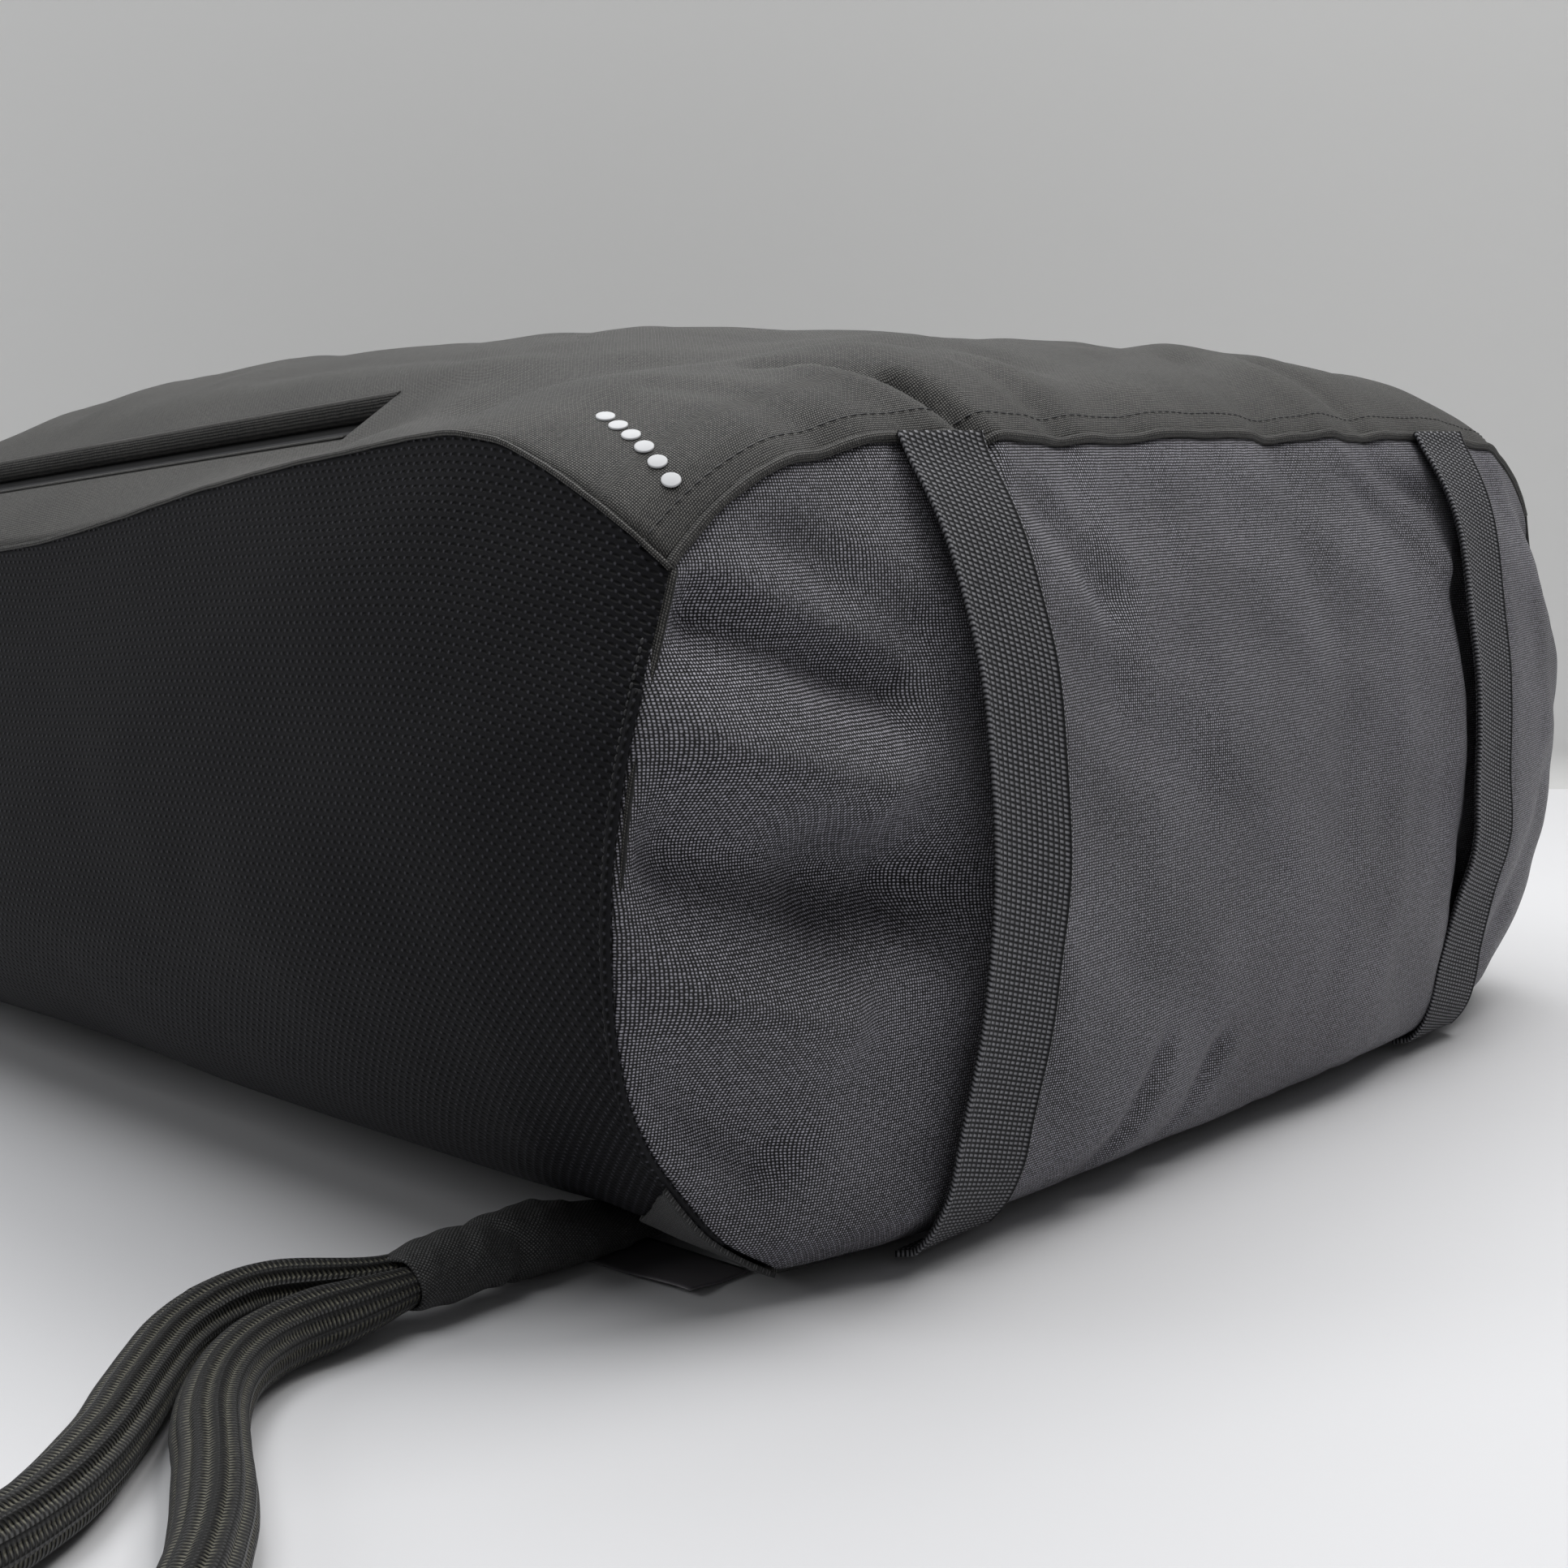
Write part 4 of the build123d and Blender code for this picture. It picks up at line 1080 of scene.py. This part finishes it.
pleat = 1.3 * np.sin(phase)[None, :] * np.sin(pi * np.clip(turns * 1.02, 0, 1))[:, None] ** 0.4
hem = loop[None] + inward[None] * (depth[:, None] - pleat * np.cos(pi * turns)[:, None])[..., None]
lip = np.exp(-((turns - 0.5) / 0.2) ** 2)[:, None]
hem[..., 1] = reach[:, None] + 0.6 * np.sin(phase * 0.5)[None, :] * lip
hem[..., 2] = np.maximum(hem[..., 2], 0.4)
run = run_along(loop)
uvs = [(run[j] * MM, turn * 0.07) for turn in turns for j in range(count)]
hem_faces = grid_faces(hem_rings, count, closed=True)
hem_piece = new_object("mouth_hem_gathered", hem.reshape(-1, 3), hem_faces, uvs, front_cloth)
soft_piece(hem_piece, "mouth_hem")

# ---- lining of the zip pocket ----
pouch_u, pouch_v = np.meshgrid(np.linspace(-pi, pi, 65)[:-1], np.linspace(-1, 1, 60))
flatness = (1 - np.abs(pouch_v) ** 6) ** 0.5
pouch = np.stack([-90 + 58 * np.sign(np.cos(pouch_u)) * np.abs(np.cos(pouch_u)) ** 0.35,
                  -12 + 100 * pouch_v,
                  112 + 10.5 * flatness * np.sign(np.sin(pouch_u)) * np.abs(np.sin(pouch_u)) ** 0.7], axis=-1)
pouch[..., 2] += 1.0 * noise_b(pouch, (30, 30, 300))
pouch_uv = np.stack([pouch[..., 0], pouch[..., 1]], axis=-1) * MM
pouch_piece = new_object("zip_pocket_pouch", pouch.reshape(-1, 3), grid_faces(60, 64, closed=True, flip=True),
                         pouch_uv.reshape(-1, 2), lining_cloth)
soft_piece(pouch_piece, "zip_pocket_lining")


# ---- bindings over the raw edges inside ----
def binding(name, line, facing, stands_for):
    """A tape 9 mm wide along a line, its width in the facing direction."""
    line = even(line, 3.0)
    rows = np.stack([line + facing * c for c in np.linspace(-4.5, 4.5, 7)], axis=1)
    rows = rows + 0.4 * noise_b(rows, (12, 12, 12))[..., None]
    made = cloth(name, rows, tape_cloth, 0.8)
    soft_piece(made, stands_for)


for side, word in ((-1, "left"), (1, "right")):
    ys = np.linspace(-120, 96, 60)
    upright = np.array([0, 0, 1.0])
    line = np.stack([side * (seam_x(ys) - 12), ys, seam_z(ys) - 26], axis=1)
    binding(f"front_seam_tape_{word}", line, upright, f"front_seam_binding_{word}")
    line = np.stack([side * (half_width(ys) - 16), ys, 0 * ys + 42], axis=1)
    binding(f"back_seam_tape_{word}", line, upright, f"back_seam_binding_{word}")
ring = np.concatenate([top_edge[8:-8], right_edge[::-1], bottom_edge[::-1], left_edge])
core = np.array([0, seam_y, 76.0])
ring = core + (ring - core) * np.array([0.94, 1, 0.86])
ring[:, 1] = -206
binding("bottom_seam_tape", ring, np.array([0, 1.0, 0]), "bottom_seam_binding")

# ---- plain dot mark in place of any words ----
dots = []
for k in range(6):
    x, y = -158.5 + 0.9 * k, -213.0 + 4.0 * k
    row = int(np.clip(np.searchsorted(front_pts[:, 5, 1], y), 1, len(front_pts) - 2))
    column = int(np.argmin(np.abs(front_pts[row, :, 0] - x)))
    along_row = front_pts[row, column + 1] - front_pts[row, column - 1]
    along_bag = front_pts[row + 1, column] - front_pts[row - 1, column]
    normal = unit(np.cross(along_row, along_bag))
    corner = front_pts[row, column]
    height = corner[2] - (normal[0] * (x - corner[0]) + normal[1] * (y - corner[1])) / normal[2]
    dots.append((np.array([x, y, height]), normal))
dot_vertices, dot_faces = [], []
for point, normal in dots:
    side_way = unit(np.cross(normal, (0, 0, 1.0)))
    up_way = np.cross(side_way, normal)
    first = len(dot_vertices)
    for height, size in ((0.05, 1.7), (0.3, 1.7), (0.36, 1.5)):
        for k in range(24):
            a = 2 * pi * k / 24
            dot_vertices.append(point + normal * height + size * (np.cos(a) * side_way + np.sin(a) * up_way))
    for layer in range(2):
        for k in range(24):
            here = first + layer * 24 + k
            after = first + layer * 24 + (k + 1) % 24
            dot_faces.append((after, here, here + 24, after + 24))
    dot_faces.append(tuple(first + 48 + k for k in reversed(range(24))))
mark = new_object("reflective_dots", dot_vertices, dot_faces, None, reflective)
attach(mark, "bag")

# ---- table, wall and light ----
flat_forward = unit(np.array([camera_aim[0], camera_aim[1], 0.0]))
flat_side = np.array([flat_forward[1], -flat_forward[0], 0.0])
under_camera = np.array([camera_place[0], camera_place[1], 0.0])


def backdrop(name, profile, material):
    """A wide sheet straight across the view; the profile gives distance ahead and height."""
    vertices = [under_camera + flat_forward * distance + flat_side * reach + np.array([0, 0, height])
                for distance, height in profile for reach in (-2400.0, 2400.0)]
    faces = [(2 * i, 2 * i + 1, 2 * i + 3, 2 * i + 2) for i in range(len(profile) - 1)]
    return new_object(name, vertices, faces, None, material)


cove = [(985.0 + 15 * np.sin(a), 15 - 15 * np.cos(a)) for a in np.linspace(0, pi / 2, 10)]
table = backdrop("table", [(-2400.0, 0.0)] + cove[:1], table_paint)
wall = backdrop("wall", cove + [(1000.0, 460.0)], wall_paint)


def area_light(name, place, target, width, height, power, colour):
    """A rectangular light in metres and watts, turned towards the target."""
    lamp = bpy.data.lights.new(name, "AREA")
    lamp.shape = "RECTANGLE"
    lamp.size = width
    lamp.size_y = height
    lamp.energy = power
    lamp.color = colour
    made = bpy.data.objects.new(name, lamp)
    made.location = place
    made.rotation_euler = (Vector(target) - Vector(place)).to_track_quat("-Z", "Y").to_euler()
    scene.collection.objects.link(made)


area_light("window_above_right", (0.3, -0.45, 1.15), (0.02, -0.2, 0.05), 0.7, 0.6, 8.5, (1.0, 0.995, 0.985))
area_light("window_behind", (0.4, 0.42, 1.2), (0.0, -0.1, 0.05), 0.9, 0.7, 6.0, (0.98, 0.99, 1.0))
area_light("ceiling", (-0.45, 0.05, 1.45), (-0.15, -0.05, 0.05), 1.2, 0.9, 9.0, (0.98, 0.99, 1.0))
area_light("window_left", (-1.15, 0.75, 0.75), (-0.25, 0.75, 0.35), 0.6, 0.6, 4.2, (0.98, 0.99, 1.0))
world = bpy.data.worlds.new("room")
scene.world = world
world.use_nodes = True
sky = world.node_tree.nodes["Background"]
sky.inputs["Color"].default_value = (0.86, 0.86, 0.87, 1.0)
sky.inputs["Strength"].default_value = 0.15
